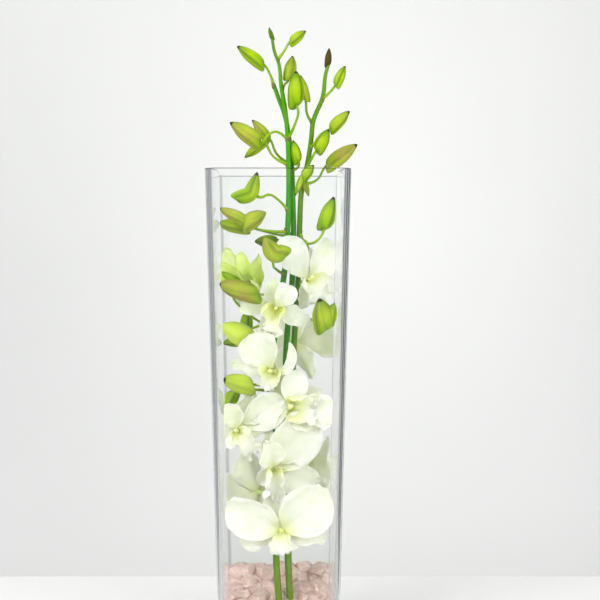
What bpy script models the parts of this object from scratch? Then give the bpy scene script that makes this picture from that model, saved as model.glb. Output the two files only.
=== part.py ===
"""White dendrobium orchids standing in a tall square glass vase on rose quartz.

Metres, +Z up. The origin is the centre of the vase's foot, the front of the
arrangement faces -Y, and places along the stems are written in millimetres.
"""

import math
import random

import bmesh
import bpy
from mathutils import Matrix, Vector

MM = 0.001
GAP = 0.3 * MM  # left between pieces that touch
WELD = 0.02 * MM

# Vase: a square of cast glass, 102 mm (4 in) at the rim and 356 mm (14 in) tall
VASE_HEIGHT = 356 * MM
RIM_WIDTH = 102 * MM
FOOT_WIDTH = 86 * MM
GLASS_WALL = 3.5 * MM
GLASS_FLOOR = 10 * MM
CORNER_RADIUS = 9 * MM
LIP_ROUNDING = 0.8 * MM
CORNER_STEPS = 4

# Rose quartz chips that hold the stems upright: level at the front, and heaped
# against the back of the vase from just before the stems
STONE_FRONT = 31 * MM
STONE_BACK = 55 * MM
HEAP_START = -8 * MM
HEAP_SLOPE = 0.5
CHIP_SIZE = 10.5 * MM
CHIP_PITCH = 18 * MM
CHIP_SINK = 4 * MM
CHIP_JITTER = 2.5 * MM
BED_INSET = 3 * MM  # how far the core of the bed stays behind its chips
STONE_SEED = 11
HOLE_PLAY = 2 * GAP  # round each stem
HOLE_OVERRUN = 8 * MM
HOLE_SIDES = 16

# Stems and the thin flower stalks (pedicels) that leave them. The sides are levels
# of roundness: four sides at 0, six at 1, eight at 2.
STEM_SIDES, AXIS_SIDES, STALK_SIDES = 2, 1, 0
STEM_THICKNESS = ((12, 5.2), (150, 4.8), (240, 4.3), (350, 3.9), (410, 3.2), (462, 1.8))
STALK_RADIUS = 0.95 * MM
BRACT_LENGTH = 4.5 * MM
BRACT_RADIUS = 1.1 * MM
BRACT_DROP = 1.5 * MM

# A bud: its girth is FOOT at the root less TAPER times the share of its length, and
# it bows downward. Buds thicker than CHIN_FROM show a chin, a low hump at the foot.
BUD_FOOT, BUD_TAPER, BUD_BOW = 1.42, 0.6, 0.08
BUD_SINK = 0.12
CHIN_FROM = 7
CHIN_GIRTH, LONG_CHIN_GIRTH, CHIN_POINT = 0.24, 0.45, 0.08

# Floral parts of one open bloom, about 75 mm across
PETAL_LENGTH, PETAL_WIDTH = 36 * MM, 35 * MM
SEPAL_LENGTH, SEPAL_WIDTH = 31 * MM, 17 * MM
LIP_LENGTH, LIP_WIDTH = 23 * MM, 17 * MM
BLADE_THICKNESS = 0.9 * MM
PART_START = 1 * MM  # from the flower's axis to the root of a part
SEPALS_BEHIND, PETALS_AHEAD = 1.2 * MM, 0.9 * MM
NECK_LENGTH, NECK_RADIUS = 9.5 * MM, 1.2 * MM
# A bloom's own axis from its hub to the tip of its column: how far ahead, how far
# up and how thick, in mm
SPINDLE = ((-3, -0.4, 1.7), (-1.2, 0, 3.1), (1.4, 0.2, 3.0), (4, 0.9, 2.0), (8.5, 2.4, 1.8))

# Cells across and along each part, and its shape: see blade()
SEPAL_CELLS, PETAL_CELLS, LIP_CELLS = (2, 4), (4, 5), (4, 5)
SEPAL_SHAPE = dict(curl=-10, cup=0.06, ruffle=0.3, waves=1, phase=0.1)
PETAL_SHAPE = dict(curl=-14, cup=0.1, ruffle=0.8, waves=1.2, phase=0.15)
LIP_SHAPE = dict(curl=-55, cup=0.85, ruffle=0.8, waves=2.5, phase=0.25)

# Stem routes in millimetres, from the glass floor to the growing tip. The first
# run of each is straight, so that it stands in a plain hole in the stones.
STEMS = {
    "stem_left": (
        (2, -4, 10.3), (-2, -4, 62), (-3.5, -3, 113), (-5, -3, 151), (-5.5, -3, 196),
        (-3, -2, 240), (1, -2, 264), (4, -1, 284), (6, 0, 310), (7, 0, 336),
        (7, 0, 361), (6.5, 0, 379), (4.5, 0, 401), (1.5, 0, 419), (0, 0, 434),
        (-3.5, 0, 444), (-5, 0, 453),
    ),
    "stem_middle": (
        (9.5, 2, 10.3), (6.5, 2, 62), (5, 3, 112), (4, 4, 150), (4, 4, 187),
        (4.5, 4, 210), (6, 4, 240), (9, 5, 269), (10.5, 6, 310), (10, 6, 336),
        (9, 6.5, 362), (7, 6, 383), (3.5, 6, 400), (0, 5, 409), (-4, 4, 420),
    ),
    "stem_right": (
        (9.4, 10, 10.3), (6.6, 9.8, 62), (7, 9.5, 110), (9, 10, 148), (9.5, 10, 187),
        (10, 10, 210), (11.5, 10, 240), (13, 9.5, 262), (14.5, 9, 291), (15, 7, 317),
        (17.5, 5, 350), (20.5, 4, 361), (23.5, 3, 380), (25, 2, 393), (32, 1, 411),
        (34, 0, 427), (36, 0, 434),
    ),
}

# Buds: stem, the stalk's route, bud base, bud tip and bud thickness, all in mm, and
# the end of its chin where that isn't the usual short one
BUDS = (
    ("stem_left", (), (-5, 0, 452), (-7, 0, 461), 3.2),
    ("stem_left", ((0, 0, 437), (4, -1, 444)), (8, -2, 450), (20, -4, 457), 6.5),
    ("stem_middle", ((-4, 4, 419), (-7, 2, 428)), (-11, 0, 434), (-31, -4, 446), 8),
    ("stem_left", ((1, 0, 416), (4, 4, 420)), (7, 7, 424), (9, 8, 442), 9),
    ("stem_left", ((7, 0, 380), (12, -6, 391), (14, -10, 399)), (13, -10, 403), (11.5, -10, 428), 10),
    ("stem_right", ((24, 2, 391), (20.5, 6, 399)), (19.5, 9, 409), (16, 9, 428), 7),
    ("stem_right", (), (36, 0, 433), (36, 0, 446), 4.6),
    ("stem_right", ((31, 1, 409), (37, 1, 414)), (41, 1, 419), (49, 1, 433), 6.5),
    ("stem_right", ((22, 3, 373), (30, -3, 381)), (37, -4, 387), (52, -6, 399), 8),
    ("stem_right", ((19.5, 4, 358), (23.5, -3, 365)), (27, -6, 371), (38, -8, 387), 8.5),
    ("stem_right", ((17, 5, 347), (28, 13, 351)), (35, 17, 362), (59, 18, 377), 9.5),
    ("stem_left", ((6.5, 0, 380), (-2, -4, 385), (-8, -8, 382)), (-13, -10, 377), (-36, -12, 390), 10.5),
    ("stem_middle", ((9, 6.5, 361), (-2, 10, 370)), (-7, 12, 381), (-21, 13, 395), 7.5),
    ("stem_left", ((7, 0, 361), (-4, -2, 367)), (-12, 1, 378), (-25, 3, 366), 7),
    ("stem_middle", ((9, 6.5, 357), (14, 2, 361)), (15, 0, 365), (13, -1, 380), 7),
    ("stem_right", ((17, 5, 346), (15.5, -2, 349)), (17, -5, 352), (26, -8, 360), 7.5),
    ("stem_right", (), (17, -5, 354), (12, -5, 338), 4.5),
    ("stem_right", (), (18, 2, 352), (21.5, 1, 338), 4.5),
    (
        "stem_left", ((7, 0, 328), (-1, -6, 336), (-10, -12, 337)),
        (-17, -14, 335), (-17, -16, 355), 10, (-31, -16, 331),
    ),
    ("stem_left", ((6, 0, 312), (-9, -10, 314)), (-19, -14, 321), (-42, -16, 330), 9, (-9, -15, 325)),
    ("stem_middle", ((10.5, 6, 309), (0, 9, 310), (-12, 9, 313)), (-23, 8, 317), (-44, 9, 317), 9.5),
    ("stem_middle", ((10, 6, 303), (4, 14, 304)), (-1, 17, 306), (-19, 20, 304), 9.5),
    ("stem_left", ((4, -1, 278), (-5, -9, 281), (-5, -18, 285)), (4, -26, 291), (-8, -29, 307), 13),
    ("stem_right", ((15, 7, 312), (20, 0, 304), (28, -5, 306)), (32, -7, 313), (39, -10, 338), 11),
    (
        "stem_left", ((-3, -2, 240), (-17, -11, 247), (-30, -24, 256)),
        (-36, -32, 268), (-13, -36, 268), 13, (-42, -31, 277),
    ),
    ("stem_left", ((-3, -2, 236), (-12, -5, 237)), (-18, -7, 235), (-43.5, -9, 245), 14),
    ("stem_left", ((-2.5, -2, 244), (-12, 8, 244)), (-20, 13, 241), (-31, 17, 251), 9),
    ("stem_right", ((12.5, 9, 254), (21, 1, 249)), (30, -8, 249), (38, -28, 258), 19, (25, -12, 264)),
    ("stem_left", ((-5.5, -3, 199), (-13, -10, 200)), (-19, -14, 202), (-42.5, -18, 205), 11.5),
    ("stem_left", ((-5.5, -3, 195), (-20, 4, 195)), (-35, 6, 192), (-41, 6, 174), 9.5),
)

# Open blooms. "at" is the flower's centre in mm; "turn" is where it faces, 0 to
# the front and 90 to the right; "nod" lifts the face and "roll" turns it clockwise.
# "stalk" is the stem and the height in mm at which the flower stalk leaves it.
# The other entries set a floral part's angle from the top, its sweep out of the
# flower's plane toward the face, both in degrees, its length and its width.
BLOOMS = {
    "bloom_01": dict(
        at=(2, -24, 98), turn=0, nod=-6, stalk=("stem_left", 67),
        dorsal=(-26, -10, 0.95, 1), left=(-71, 0, 1.18, 0.84), right=(44, -5, 1.2, 1.12),
        low_left=(-110, 3, 1.1, 0.85), low_right=(104, 3, 1.15, 0.85), lip=(180, 46, 0.85, 1.1),
    ),
    "bloom_02": dict(
        at=(0, -20, 141), turn=12, nod=-8, stalk=("stem_middle", 132),
        dorsal=(-4, -14, 0.9, 1), left=(-32, 12, 0.72, 0.62), right=(24, 0, 1.15, 1.15),
        low_left=(-150, -24, 0.8, 0.9), low_right=(120, -24, 0.9, 0.9), lip=(186, 50, 0.8, 0.9),
    ),
    "bloom_03": dict(
        at=(-24, -12, 169), turn=-25, nod=-6, stalk=("stem_left", 162),
        dorsal=(22, -4, 0.75, 1), left=(-50, 22, 0.51, 0.65), right=(62, 0, 0.85, 0.8),
        low_left=(-126, 6, 0.73, 1), low_right=(130, 2, 0.6, 1.1), lip=(190, 50, 0.7, 0.9),
    ),
    "bloom_04": dict(
        at=(9, -10, 188), turn=38, nod=6, stalk=("stem_middle", 181),
        dorsal=(55, -14, 0.9, 1), left=(17, 8, 0.72, 0.62), right=(92, -6, 0.95, 0.85),
        low_left=(-165, -12, 0.65, 0.9), low_right=(122, -8, 0.8, 1), lip=(110, 34, 0.75, 0.9),
    ),
    "bloom_05": dict(
        at=(-3.5, -15, 210), turn=-14, nod=-8, stalk=("stem_left", 216),
        dorsal=(40, 8, 0.85, 0.75), left=(-30, 4, 0.8, 0.8), right=(100, -52, 0.46, 0.7),
        low_left=(-80, -4, 0.9, 0.9), low_right=(166, 0, 0.55, 0.9), lip=(188, 44, 0.8, 0.9),
    ),
    "bloom_06": dict(
        at=(-2, -21, 258), turn=0, nod=-14, size=0.9, stalk=("stem_left", 250),
        dorsal=(-12, -6, 0.72, 1), left=(-82, -4, 0.82, 0.55), right=(56, 0, 0.62, 0.66),
        low_left=(-150, -10, 0.8, 0.8), low_right=(120, -2, 0.9, 0.9), lip=(196, 42, 0.85, 0.95),
    ),
    "bloom_07": dict(
        at=(22, -3, 280), turn=32, nod=8, stalk=("stem_right", 273),
        dorsal=(-4, -4, 0.7, 0.9), left=(-50, 2, 0.98, 0.85), right=(48, -10, 0.98, 0.9),
        low_left=(-172, -12, 0.7, 0.8), low_right=(118, -8, 0.9, 0.9), lip=(200, 40, 0.8, 0.9),
    ),
    "bloom_08": dict(
        at=(-17, 10, 117), turn=-140, nod=-4, stalk=("stem_left", 121),
        dorsal=(15, -2, 1.15, 1.5), left=(-84, 0, 0.9, 0.9), right=(88, 0, 0.82, 0.9),
    ),
    "bloom_09": dict(
        at=(-14, -13, 271), turn=-68, nod=40, size=0.95, stalk=("stem_left", 266),
        dorsal=(0, 58, 1.0, 0.8), left=(-64, 60, 0.85, 0.34), right=(64, 60, 0.85, 0.34),
        low_left=(-125, 56, 1.0, 0.8), low_right=(125, 56, 1.0, 0.8), lip=(180, 64, 0.7, 0.6),
    ),
    "bloom_10": dict(
        at=(11, 22, 228), turn=150, nod=5, stalk=("stem_right", 222),
        dorsal=(0, -8, 1.0, 1),
    ),
    "bloom_11": dict(
        at=(22.4, 9, 140), turn=112, nod=0, stalk=("stem_right", 138),
        dorsal=(0, -8, 1.0, 1), left=(-76, 0, 0.92, 0.95), right=(76, 0, 0.88, 0.95),
    ),
}

# Angle, sweep, length and width of each floral part where a bloom sets none itself
USUAL_BLOOM = dict(
    dorsal=(0, -8, 1, 1),
    left=(-76, 0, 1, 1),
    right=(76, 0, 1, 1),
    low_left=(-142, -8, 1, 1),
    low_right=(142, -8, 1, 1),
    lip=(180, 46, 1, 1),
)

# Base colour, roughness and transmission
COLOURS = {
    "clear_glass": ((0.9, 0.93, 0.92), 0.02, 1.0),
    "rose_quartz": ((0.79, 0.57, 0.54), 0.4, 0.0),
    "orchid_green": ((0.2, 0.46, 0.04), 0.45, 0.0),
    "orchid_white": ((0.9, 0.92, 0.84), 0.55, 0.0),
}


def clear_scene():
    for thing in list(bpy.data.objects):
        bpy.data.objects.remove(thing)


def make_collection(name):
    collection = bpy.data.collections.new(name)
    bpy.context.scene.collection.children.link(collection)
    return collection


def make_material(name):
    colour, roughness, transmission = COLOURS[name]
    material = bpy.data.materials.new(name)
    material.use_nodes = True
    shader = material.node_tree.nodes["Principled BSDF"]
    shader.inputs["Base Color"].default_value = (*colour, 1)
    shader.inputs["Roughness"].default_value = roughness
    shader.inputs["Metallic"].default_value = 0
    shader.inputs["Transmission Weight"].default_value = transmission
    material.diffuse_color = (*colour, 1)
    return material


def vector_mm(point):
    return Vector(point) * MM


def object_from(bm, name, collection):
    mesh = bpy.data.meshes.new(name)
    bm.to_mesh(mesh)
    bm.free()
    thing = bpy.data.objects.new(name, mesh)
    collection.objects.link(thing)
    return thing


def settle(thing):
    """Replaces an object's mesh with its evaluated one, so that it can be joined."""
    graph = bpy.context.evaluated_depsgraph_get()
    evaluated = thing.evaluated_get(graph)
    mesh = bpy.data.meshes.new_from_object(evaluated, depsgraph=graph)
    matrix = thing.matrix_world.copy()
    name = thing.name
    collection = thing.users_collection[0]
    bpy.data.objects.remove(thing)
    bm = bmesh.new()
    bm.from_mesh(mesh)
    bmesh.ops.remove_doubles(bm, verts=bm.verts, dist=WELD)
    bm.transform(matrix)
    bmesh.ops.recalc_face_normals(bm, faces=bm.faces)
    bpy.data.meshes.remove(mesh)
    return object_from(bm, name, collection)


def fuse(name, pieces, collection, material):
    """Joins the pieces into one closed solid in a node of its own."""
    core = pieces[0]
    group = bpy.data.collections.new(name + "_pieces")
    bpy.context.scene.collection.children.link(group)
    for piece in pieces[1:]:
        piece.users_collection[0].objects.unlink(piece)
        group.objects.link(piece)
    joint = core.modifiers.new("join", "BOOLEAN")
    joint.operand_type = "COLLECTION"
    joint.collection = group
    joint.operation = "UNION"
    joint.solver = "EXACT"
    joint.use_self = True
    bpy.context.view_layer.update()
    node = settle(core)
    for piece in list(group.objects):
        bpy.data.objects.remove(piece)
    bpy.data.collections.remove(group)
    keep_largest_shell(node)
    node.name = name
    node.data.name = name
    node.data.materials.clear()
    node.data.materials.append(material)
    node.users_collection[0].objects.unlink(node)
    collection.objects.link(node)
    node.data.shade_smooth()
    node.data.set_sharp_from_angle(angle=math.radians(50))
    return node


def keep_largest_shell(thing):
    """Drops the scraps, flat flaps and sealed hollows that joining can leave."""
    bm = bmesh.new()
    bm.from_mesh(thing.data)
    bmesh.ops.triangulate(bm, faces=bm.faces)
    left = set(bm.faces)
    shells = []
    while left:
        shell = {left.pop()}
        border = list(shell)
        while border:
            sound = [edge for edge in border.pop().edges if len(edge.link_faces) == 2]
            for other in {face for edge in sound for face in edge.link_faces} & left:
                left.remove(other)
                shell.add(other)
                border.append(other)
        shells.append(shell)
    shells.sort(key=lambda shell: sum(face.calc_area() for face in shell))
    for shell in shells[:-1]:
        bmesh.ops.delete(bm, geom=list(shell), context="FACES")
    bmesh.ops.delete(bm, geom=[v for v in bm.verts if not v.link_faces], context="VERTS")
    bm.to_mesh(thing.data)
    bm.free()


def in_table(table, height):
    """Reads a thickness in mm at a height in mm, straight between the entries."""
    for (low, first), (high, second) in zip(table, table[1:]):
        if height <= high:
            share = max(0.0, (height - low) / (high - low))
            return first + (second - first) * share
    return table[-1][1]


def smooth_route(points, steps):
    """Points along a Catmull-Rom curve through the given ones."""
    padded = [2 * points[0] - points[1], *points, 2 * points[-1] - points[-2]]
    route = []
    for before, start, end, after in zip(padded, padded[1:], padded[2:], padded[3:]):
        for step in range(steps):
            t = step / steps
            route.append(0.5 * (
                2 * start
                + (end - before) * t
                + (2 * before - 5 * start + 4 * end - after) * t ** 2
                + (3 * start - before - 3 * end + after) * t ** 3
            ))
    return [*route, points[-1]]


def tube(name, route, radii, level, collection):
    """A closed round rod along the route, with its own radius at each point."""
    curve = bpy.data.curves.new(name, "CURVE")
    curve.dimensions = "3D"
    curve.bevel_depth = 1
    curve.bevel_resolution = level
    curve.use_fill_caps = True
    curve.twist_mode = "MINIMUM"
    spline = curve.splines.new("POLY")
    spline.points.add(len(route) - 1)
    for knot, place, radius in zip(spline.points, route, radii):
        knot.co = (*place, 1)
        knot.radius = radius
    thing = bpy.data.objects.new(name, curve)
    collection.objects.link(thing)
    return settle(thing)


def frame_of(origin, forward, face):
    """A matrix with +Y along forward and +Z as near to face as it can be."""
    y = forward.normalized()
    x = y.cross(face).normalized()
    z = x.cross(y)
    matrix = Matrix((x, y, z)).transposed().to_4x4()
    matrix.translation = origin
    return matrix


def cone(name, base, tip, base_radius, tip_radius, sides, collection):
    bm = bmesh.new()
    length = (tip - base).length
    bmesh.ops.create_cone(
        bm, cap_ends=True, segments=sides, radius1=base_radius, radius2=tip_radius, depth=length
    )
    turn = (tip - base).to_track_quat("Z", "Y").to_matrix().to_4x4()
    bm.transform(Matrix.Translation((base + tip) / 2) @ turn)
    return object_from(bm, name, collection)


def rise_and_fall(along, widest, root_power, tip_power):
    """Half-width of a leaf outline, 0 to 1, at a share of its length."""
    if along < widest:
        return math.sin(math.pi / 2 * along / widest) ** root_power
    return max(0, math.sin(math.pi / 2 * (1 - along) / (1 - widest))) ** tip_power


def petal_outline(along):
    return max(0.1, rise_and_fall(along, 0.6, 1.15, 0.5))


def sepal_outline(along):
    return max(0.12, rise_and_fall(along, 0.45, 0.75, 0.85))


def lip_outline(along):
    side_lobes = rise_and_fall(min(along / 0.62, 1), 0.55, 0.6, 1.0)
    middle_lobe = 0.66 * rise_and_fall(max((along - 0.42) / 0.58, 0), 0.5, 0.8, 0.7)
    return max(0.16, side_lobes, middle_lobe)


def blade(name, place, length, width, cells, outline, shape, collection):
    """A thin curved leaf, root at the place's origin, growing along its +Y.

    "shape" holds: curl, degrees that the length bends toward the face; cup, how
    far the edges rise; ruffle, mm of wave at the edge; phase, where the wave begins.
    """
    across, along = cells
    curl = math.radians(shape.get("curl", 0)) or 1e-6
    bm = bmesh.new()
    bmesh.ops.create_grid(bm, x_segments=across, y_segments=along, size=0.5)
    for vert in bm.verts:
        side = vert.co.x * 2
        share = 0.5 - 0.5 * math.cos(math.pi * (vert.co.y + 0.5))
        share = 0.5 * share + 0.5 * (vert.co.y + 0.5)
        half = width / 2 * outline(share)
        bend = curl * share
        lift = shape.get("cup", 0) * half * side ** 2
        wave = math.sin(math.tau * (shape.get("waves", 1.5) * share + shape.get("phase", 0) * side))
        lift += shape.get("ruffle", 0) * MM * wave * abs(side) ** 1.5 * min(1, share * 2)
        y = length * math.sin(bend) / curl
        z = length * (1 - math.cos(bend)) / curl
        vert.co = (side * half, y - lift * math.sin(bend), z + lift * math.cos(bend))
    bmesh.ops.triangulate(bm, faces=bm.faces, quad_method="FIXED")
    bm.transform(place @ Matrix.Rotation(-curl / 2, 4, "X"))
    thing = object_from(bm, name, collection)
    skin = thing.modifiers.new("thickness", "SOLIDIFY")
    skin.thickness = BLADE_THICKNESS
    skin.offset = 0
    return settle(thing)


def rounded_block(name, bottom, top, low, high, corner, collection):
    """A square block that widens upward, with its four upright edges rounded."""
    bm = bmesh.new()
    bmesh.ops.create_cube(bm, size=1)
    for vert in bm.verts:
        upper = vert.co.z > 0
        width = top if upper else bottom
        vert.co = (vert.co.x * width, vert.co.y * width, high if upper else low)
    upright = [edge for edge in bm.edges if abs(edge.verts[0].co.z - edge.verts[1].co.z) > MM]
    bmesh.ops.bevel(
        bm, geom=upright, offset=corner, offset_type="OFFSET", segments=CORNER_STEPS,
        profile=0.5, affect="EDGES",
    )
    return object_from(bm, name, collection)


def outer_width(height):
    return FOOT_WIDTH + (RIM_WIDTH - FOOT_WIDTH) * height / VASE_HEIGHT


def inner_half(height):
    return outer_width(height) / 2 - GLASS_WALL


def make_vase(parts, cutters, material):
    over = 5 * MM
    vase = rounded_block("vase", FOOT_WIDTH, RIM_WIDTH, 0, VASE_HEIGHT, CORNER_RADIUS, parts)
    low, high = GLASS_FLOOR, VASE_HEIGHT + over
    hollow = rounded_block(
        "vase_hollow", 2 * inner_half(low), 2 * inner_half(high), low, high,
        CORNER_RADIUS - GLASS_WALL, cutters,
    )
    hollow.hide_render = True
    hollow.display_type = "WIRE"
    cut = vase.modifiers.new("hollow", "BOOLEAN")
    cut.operation = "DIFFERENCE"
    cut.object = hollow
    rim = vase.modifiers.new("edges", "BEVEL")
    rim.width = LIP_ROUNDING
    rim.segments = 2
    rim.limit_method = "ANGLE"
    rim.angle_limit = math.radians(60)
    vase.data.materials.append(material)
    vase.data.shade_smooth()
    vase.data.set_sharp_from_angle(angle=math.radians(40))


def stone_level(away):
    """Height of the stones at a place behind the vase's middle."""
    return min(STONE_BACK, STONE_FRONT + HEAP_SLOPE * max(0, away - HEAP_START))


def make_bed(parts):
    """The core of the heap, cut across where it starts to rise."""
    low, high = GLASS_FLOOR + GAP, STONE_BACK - CHIP_SINK
    bed = rounded_block(
        "bed", 2 * (inner_half(low) - BED_INSET), 2 * (inner_half(high) - BED_INSET), low, high,
        CORNER_RADIUS - GLASS_WALL, parts,
    )
    bm = bmesh.new()
    bm.from_mesh(bed.data)
    bmesh.ops.bisect_plane(
        bm, geom=[*bm.verts, *bm.edges, *bm.faces], plane_co=(0, HEAP_START, 0), plane_no=(0, 1, 0)
    )
    for vert in bm.verts:
        if vert.co.z > low + MM:
            vert.co.z = stone_level(vert.co.y) - CHIP_SINK
    bm.to_mesh(bed.data)
    bm.free()
    return bed


def stone_chip(name, centre, size, chance, collection):
    """One broken chip, pushed back inside the glass where it would reach it."""
    bm = bmesh.new()
    bmesh.ops.create_icosphere(bm, subdivisions=1, radius=size)
    turn = Matrix.Rotation(chance.uniform(0, math.tau), 4, "Z") @ Matrix.Rotation(
        chance.uniform(0, math.tau), 4, "X"
    )
    flat = Matrix.Diagonal((*(chance.uniform(0.75, 1.1) for _ in range(3)), 1))
    bm.transform(Matrix.Translation(centre) @ turn @ flat)
    for axis in (0, 1):
        for sign in (-1, 1):
            past = max(sign * v.co[axis] - inner_half(v.co.z) + GAP * 1.5 for v in bm.verts)
            if past > 0:
                for vert in bm.verts:
                    vert.co[axis] -= sign * past
    under = GLASS_FLOOR + GAP - min(vert.co.z for vert in bm.verts)
    if under > 0:
        for vert in bm.verts:
            vert.co.z += under
    return object_from(bm, name, collection)


def make_stones(parts, cutters, material):
    """A bed of chips fused to a core, with one plain hole for each stem."""
    chance = random.Random(STONE_SEED)
    low = GLASS_FLOOR + GAP
    pieces = [make_bed(parts)]
    edge = inner_half(low) - CHIP_SIZE * 0.7
    count = int(2 * inner_half(STONE_BACK) / CHIP_PITCH)
    steps = [(step - (count - 1) / 2) * CHIP_PITCH for step in range(count)]
    places = [(across, away, stone_level(away) - CHIP_SINK) for across in steps for away in steps]
    for step in steps:
        for across, away in ((step, -edge), (step, edge), (-edge, step), (edge, step)):
            for level in (low + CHIP_SIZE * 0.8, low + CHIP_SIZE * 2.5):
                if level < stone_level(away) - CHIP_SINK:
                    places.append((across, away, level))
    for number, place in enumerate(places):
        jitter = Vector(chance.uniform(-1, 1) * CHIP_JITTER for _ in range(3))
        size = CHIP_SIZE * chance.uniform(0.8, 1.1)
        pieces.append(stone_chip(f"chip_{number}", Vector(place) + jitter, size, chance, parts))
    bed = fuse("rose_quartz", pieces, parts, material)
    for stem, route in STEMS.items():
        foot, collar = vector_mm(route[0]), vector_mm(route[1])
        run = (collar - foot).normalized() * HOLE_OVERRUN
        radius = in_table(STEM_THICKNESS, STONE_FRONT / MM) / 2 * MM + HOLE_PLAY
        drill = cone(f"{stem}_hole", foot - run, collar + run, radius, radius, HOLE_SIDES, cutters)
        drill.hide_render = True
        drill.display_type = "WIRE"
        cut = bed.modifiers.new(f"{stem}_hole", "BOOLEAN")
        cut.operation = "DIFFERENCE"
        cut.object = drill


def stem_route(stem):
    return [vector_mm(point) for point in STEMS[stem]]


def stem_point(stem, height):
    """The stem's centre at a height in mm."""
    route = stem_route(stem)
    for low, high in zip(route, route[1:]):
        if low.z <= height * MM <= high.z:
            return low.lerp(high, (height * MM - low.z) / (high.z - low.z))
    return route[-1]


def make_bud(name, base, tip, thickness, chin, collection):
    """A closed bud: widest near its foot, drawn out to a point, with its chin."""
    bm = bmesh.new()
    length = (tip - base).length
    bmesh.ops.create_uvsphere(bm, u_segments=6, v_segments=5, radius=1)
    turn = (tip - base).to_track_quat("Y", "Z").to_matrix().to_4x4()
    for vert in bm.verts:
        share = (vert.co.z + 1) / 2
        girth = thickness / 2 * MM * (BUD_FOOT - BUD_TAPER * share)
        bow = BUD_BOW * length * math.sin(math.pi * share)
        vert.co = (vert.co.x * girth, length * share, vert.co.y * girth - bow)
    bm.transform(Matrix.Translation(base) @ turn)
    bud = object_from(bm, name, collection)
    if thickness < CHIN_FROM:
        return [bud]
    down = (turn @ Vector((0, 0, -1, 0))).to_3d()
    back = (base - tip).normalized()
    root = base.lerp(tip, 0.2) + down * thickness * 0.12 * MM
    point = base + down * thickness * 0.5 * MM + back * thickness * 0.14 * MM
    girth = CHIN_GIRTH
    if chin:
        point = vector_mm(chin[0])
        girth = LONG_CHIN_GIRTH
    wide, narrow = thickness * girth * MM, thickness * CHIN_POINT * MM
    return [bud, cone(name + "_chin", root, point, wide, narrow, 4, collection)]


def stalk(name, route, collection):
    path = smooth_route(route, 2 if len(route) > 3 else 3)
    last = len(path) - 1
    swell = [STALK_RADIUS * (1.25 - 0.35 * math.sin(math.pi * n / last)) for n in range(len(path))]
    return tube(name, path, swell, STALK_SIDES, collection)


def make_bract(name, stem, height, lean, collection):
    """The small scale under each stalk, pressed to the stem."""
    foot = stem_point(stem, height)
    side = Vector((lean.x, lean.y, 0)).normalized()
    radius = in_table(STEM_THICKNESS, height) / 2 * MM
    root = foot + side * radius * 0.5 - Vector((0, 0, BRACT_DROP))
    tip = root + side * radius * 0.95 + Vector((0, 0, BRACT_LENGTH))
    return cone(name, root, tip, BRACT_RADIUS, BRACT_RADIUS * 0.3, 4, collection)


def facing(turn, nod, roll):
    """A bloom's own axes: +X its right, +Y its top, +Z the way it faces."""
    turn, nod, roll = (math.radians(angle) for angle in (turn, nod, roll))
    face = Vector((
        math.sin(turn) * math.cos(nod), -math.cos(turn) * math.cos(nod), math.sin(nod)
    ))
    top = (Vector((0, 0, 1)) - face * face.z).normalized()
    right = top.cross(face)
    level = Matrix((right, top, face)).transposed()
    return level @ Matrix.Rotation(-roll, 3, "Z")


def bloom_frame(bloom):
    axes = facing(bloom["turn"], bloom["nod"], bloom.get("roll", 0)).to_4x4()
    return Matrix.Translation(vector_mm(bloom["at"])) @ axes @ Matrix.Scale(bloom.get("size", 1), 4)


def part_frame(angle, sweep, start, forward):
    """Where a floral part is rooted and how it leans, in the bloom's own axes."""
    angle, sweep = math.radians(angle), math.radians(sweep)
    out = Vector((math.sin(angle), math.cos(angle), 0))
    along = out * math.cos(sweep) + Vector((0, 0, math.sin(sweep)))
    face = Vector((0, 0, math.cos(sweep))) - out * math.sin(sweep)
    return frame_of(along * start + Vector((0, 0, forward)), along, face)


def neck_end(bloom):
    """The end of the short neck behind the flower, where its stalk meets it."""
    return bloom_frame(bloom) @ Vector((0, 0, -NECK_LENGTH))


def make_bloom(name, bloom, parts, material):
    settings = {**USUAL_BLOOM, **bloom}
    where = bloom_frame(bloom)
    blades = []

    def add(part, length, width, cells, outline, shape, forward):
        angle, sweep, longer, wider = settings[part]
        place = where @ part_frame(angle, sweep, PART_START, forward)
        blades.append(blade(
            f"{name}_{part}", place, length * longer, width * wider, cells, outline, shape, parts
        ))

    for part in ("dorsal", "low_left", "low_right"):
        add(part, SEPAL_LENGTH, SEPAL_WIDTH, SEPAL_CELLS, sepal_outline, SEPAL_SHAPE, -SEPALS_BEHIND)
    mirrored = {**PETAL_SHAPE, "phase": -PETAL_SHAPE["phase"]}
    for part, shape in (("left", PETAL_SHAPE), ("right", mirrored)):
        add(part, PETAL_LENGTH, PETAL_WIDTH, PETAL_CELLS, petal_outline, shape, PETALS_AHEAD)
    add("lip", LIP_LENGTH, LIP_WIDTH, LIP_CELLS, lip_outline, LIP_SHAPE, 0)

    size = bloom.get("size", 1)
    spindle = [where @ Vector((0, rise * MM, ahead * MM)) for ahead, rise, _ in SPINDLE]
    girths = [radius * size * MM for _, _, radius in SPINDLE]
    neck = neck_end(bloom)
    axis = tube(f"{name}_axis", [neck, *spindle], [NECK_RADIUS * size, *girths], AXIS_SIDES, parts)
    fuse(name, [axis, *blades], parts, material)


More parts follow.
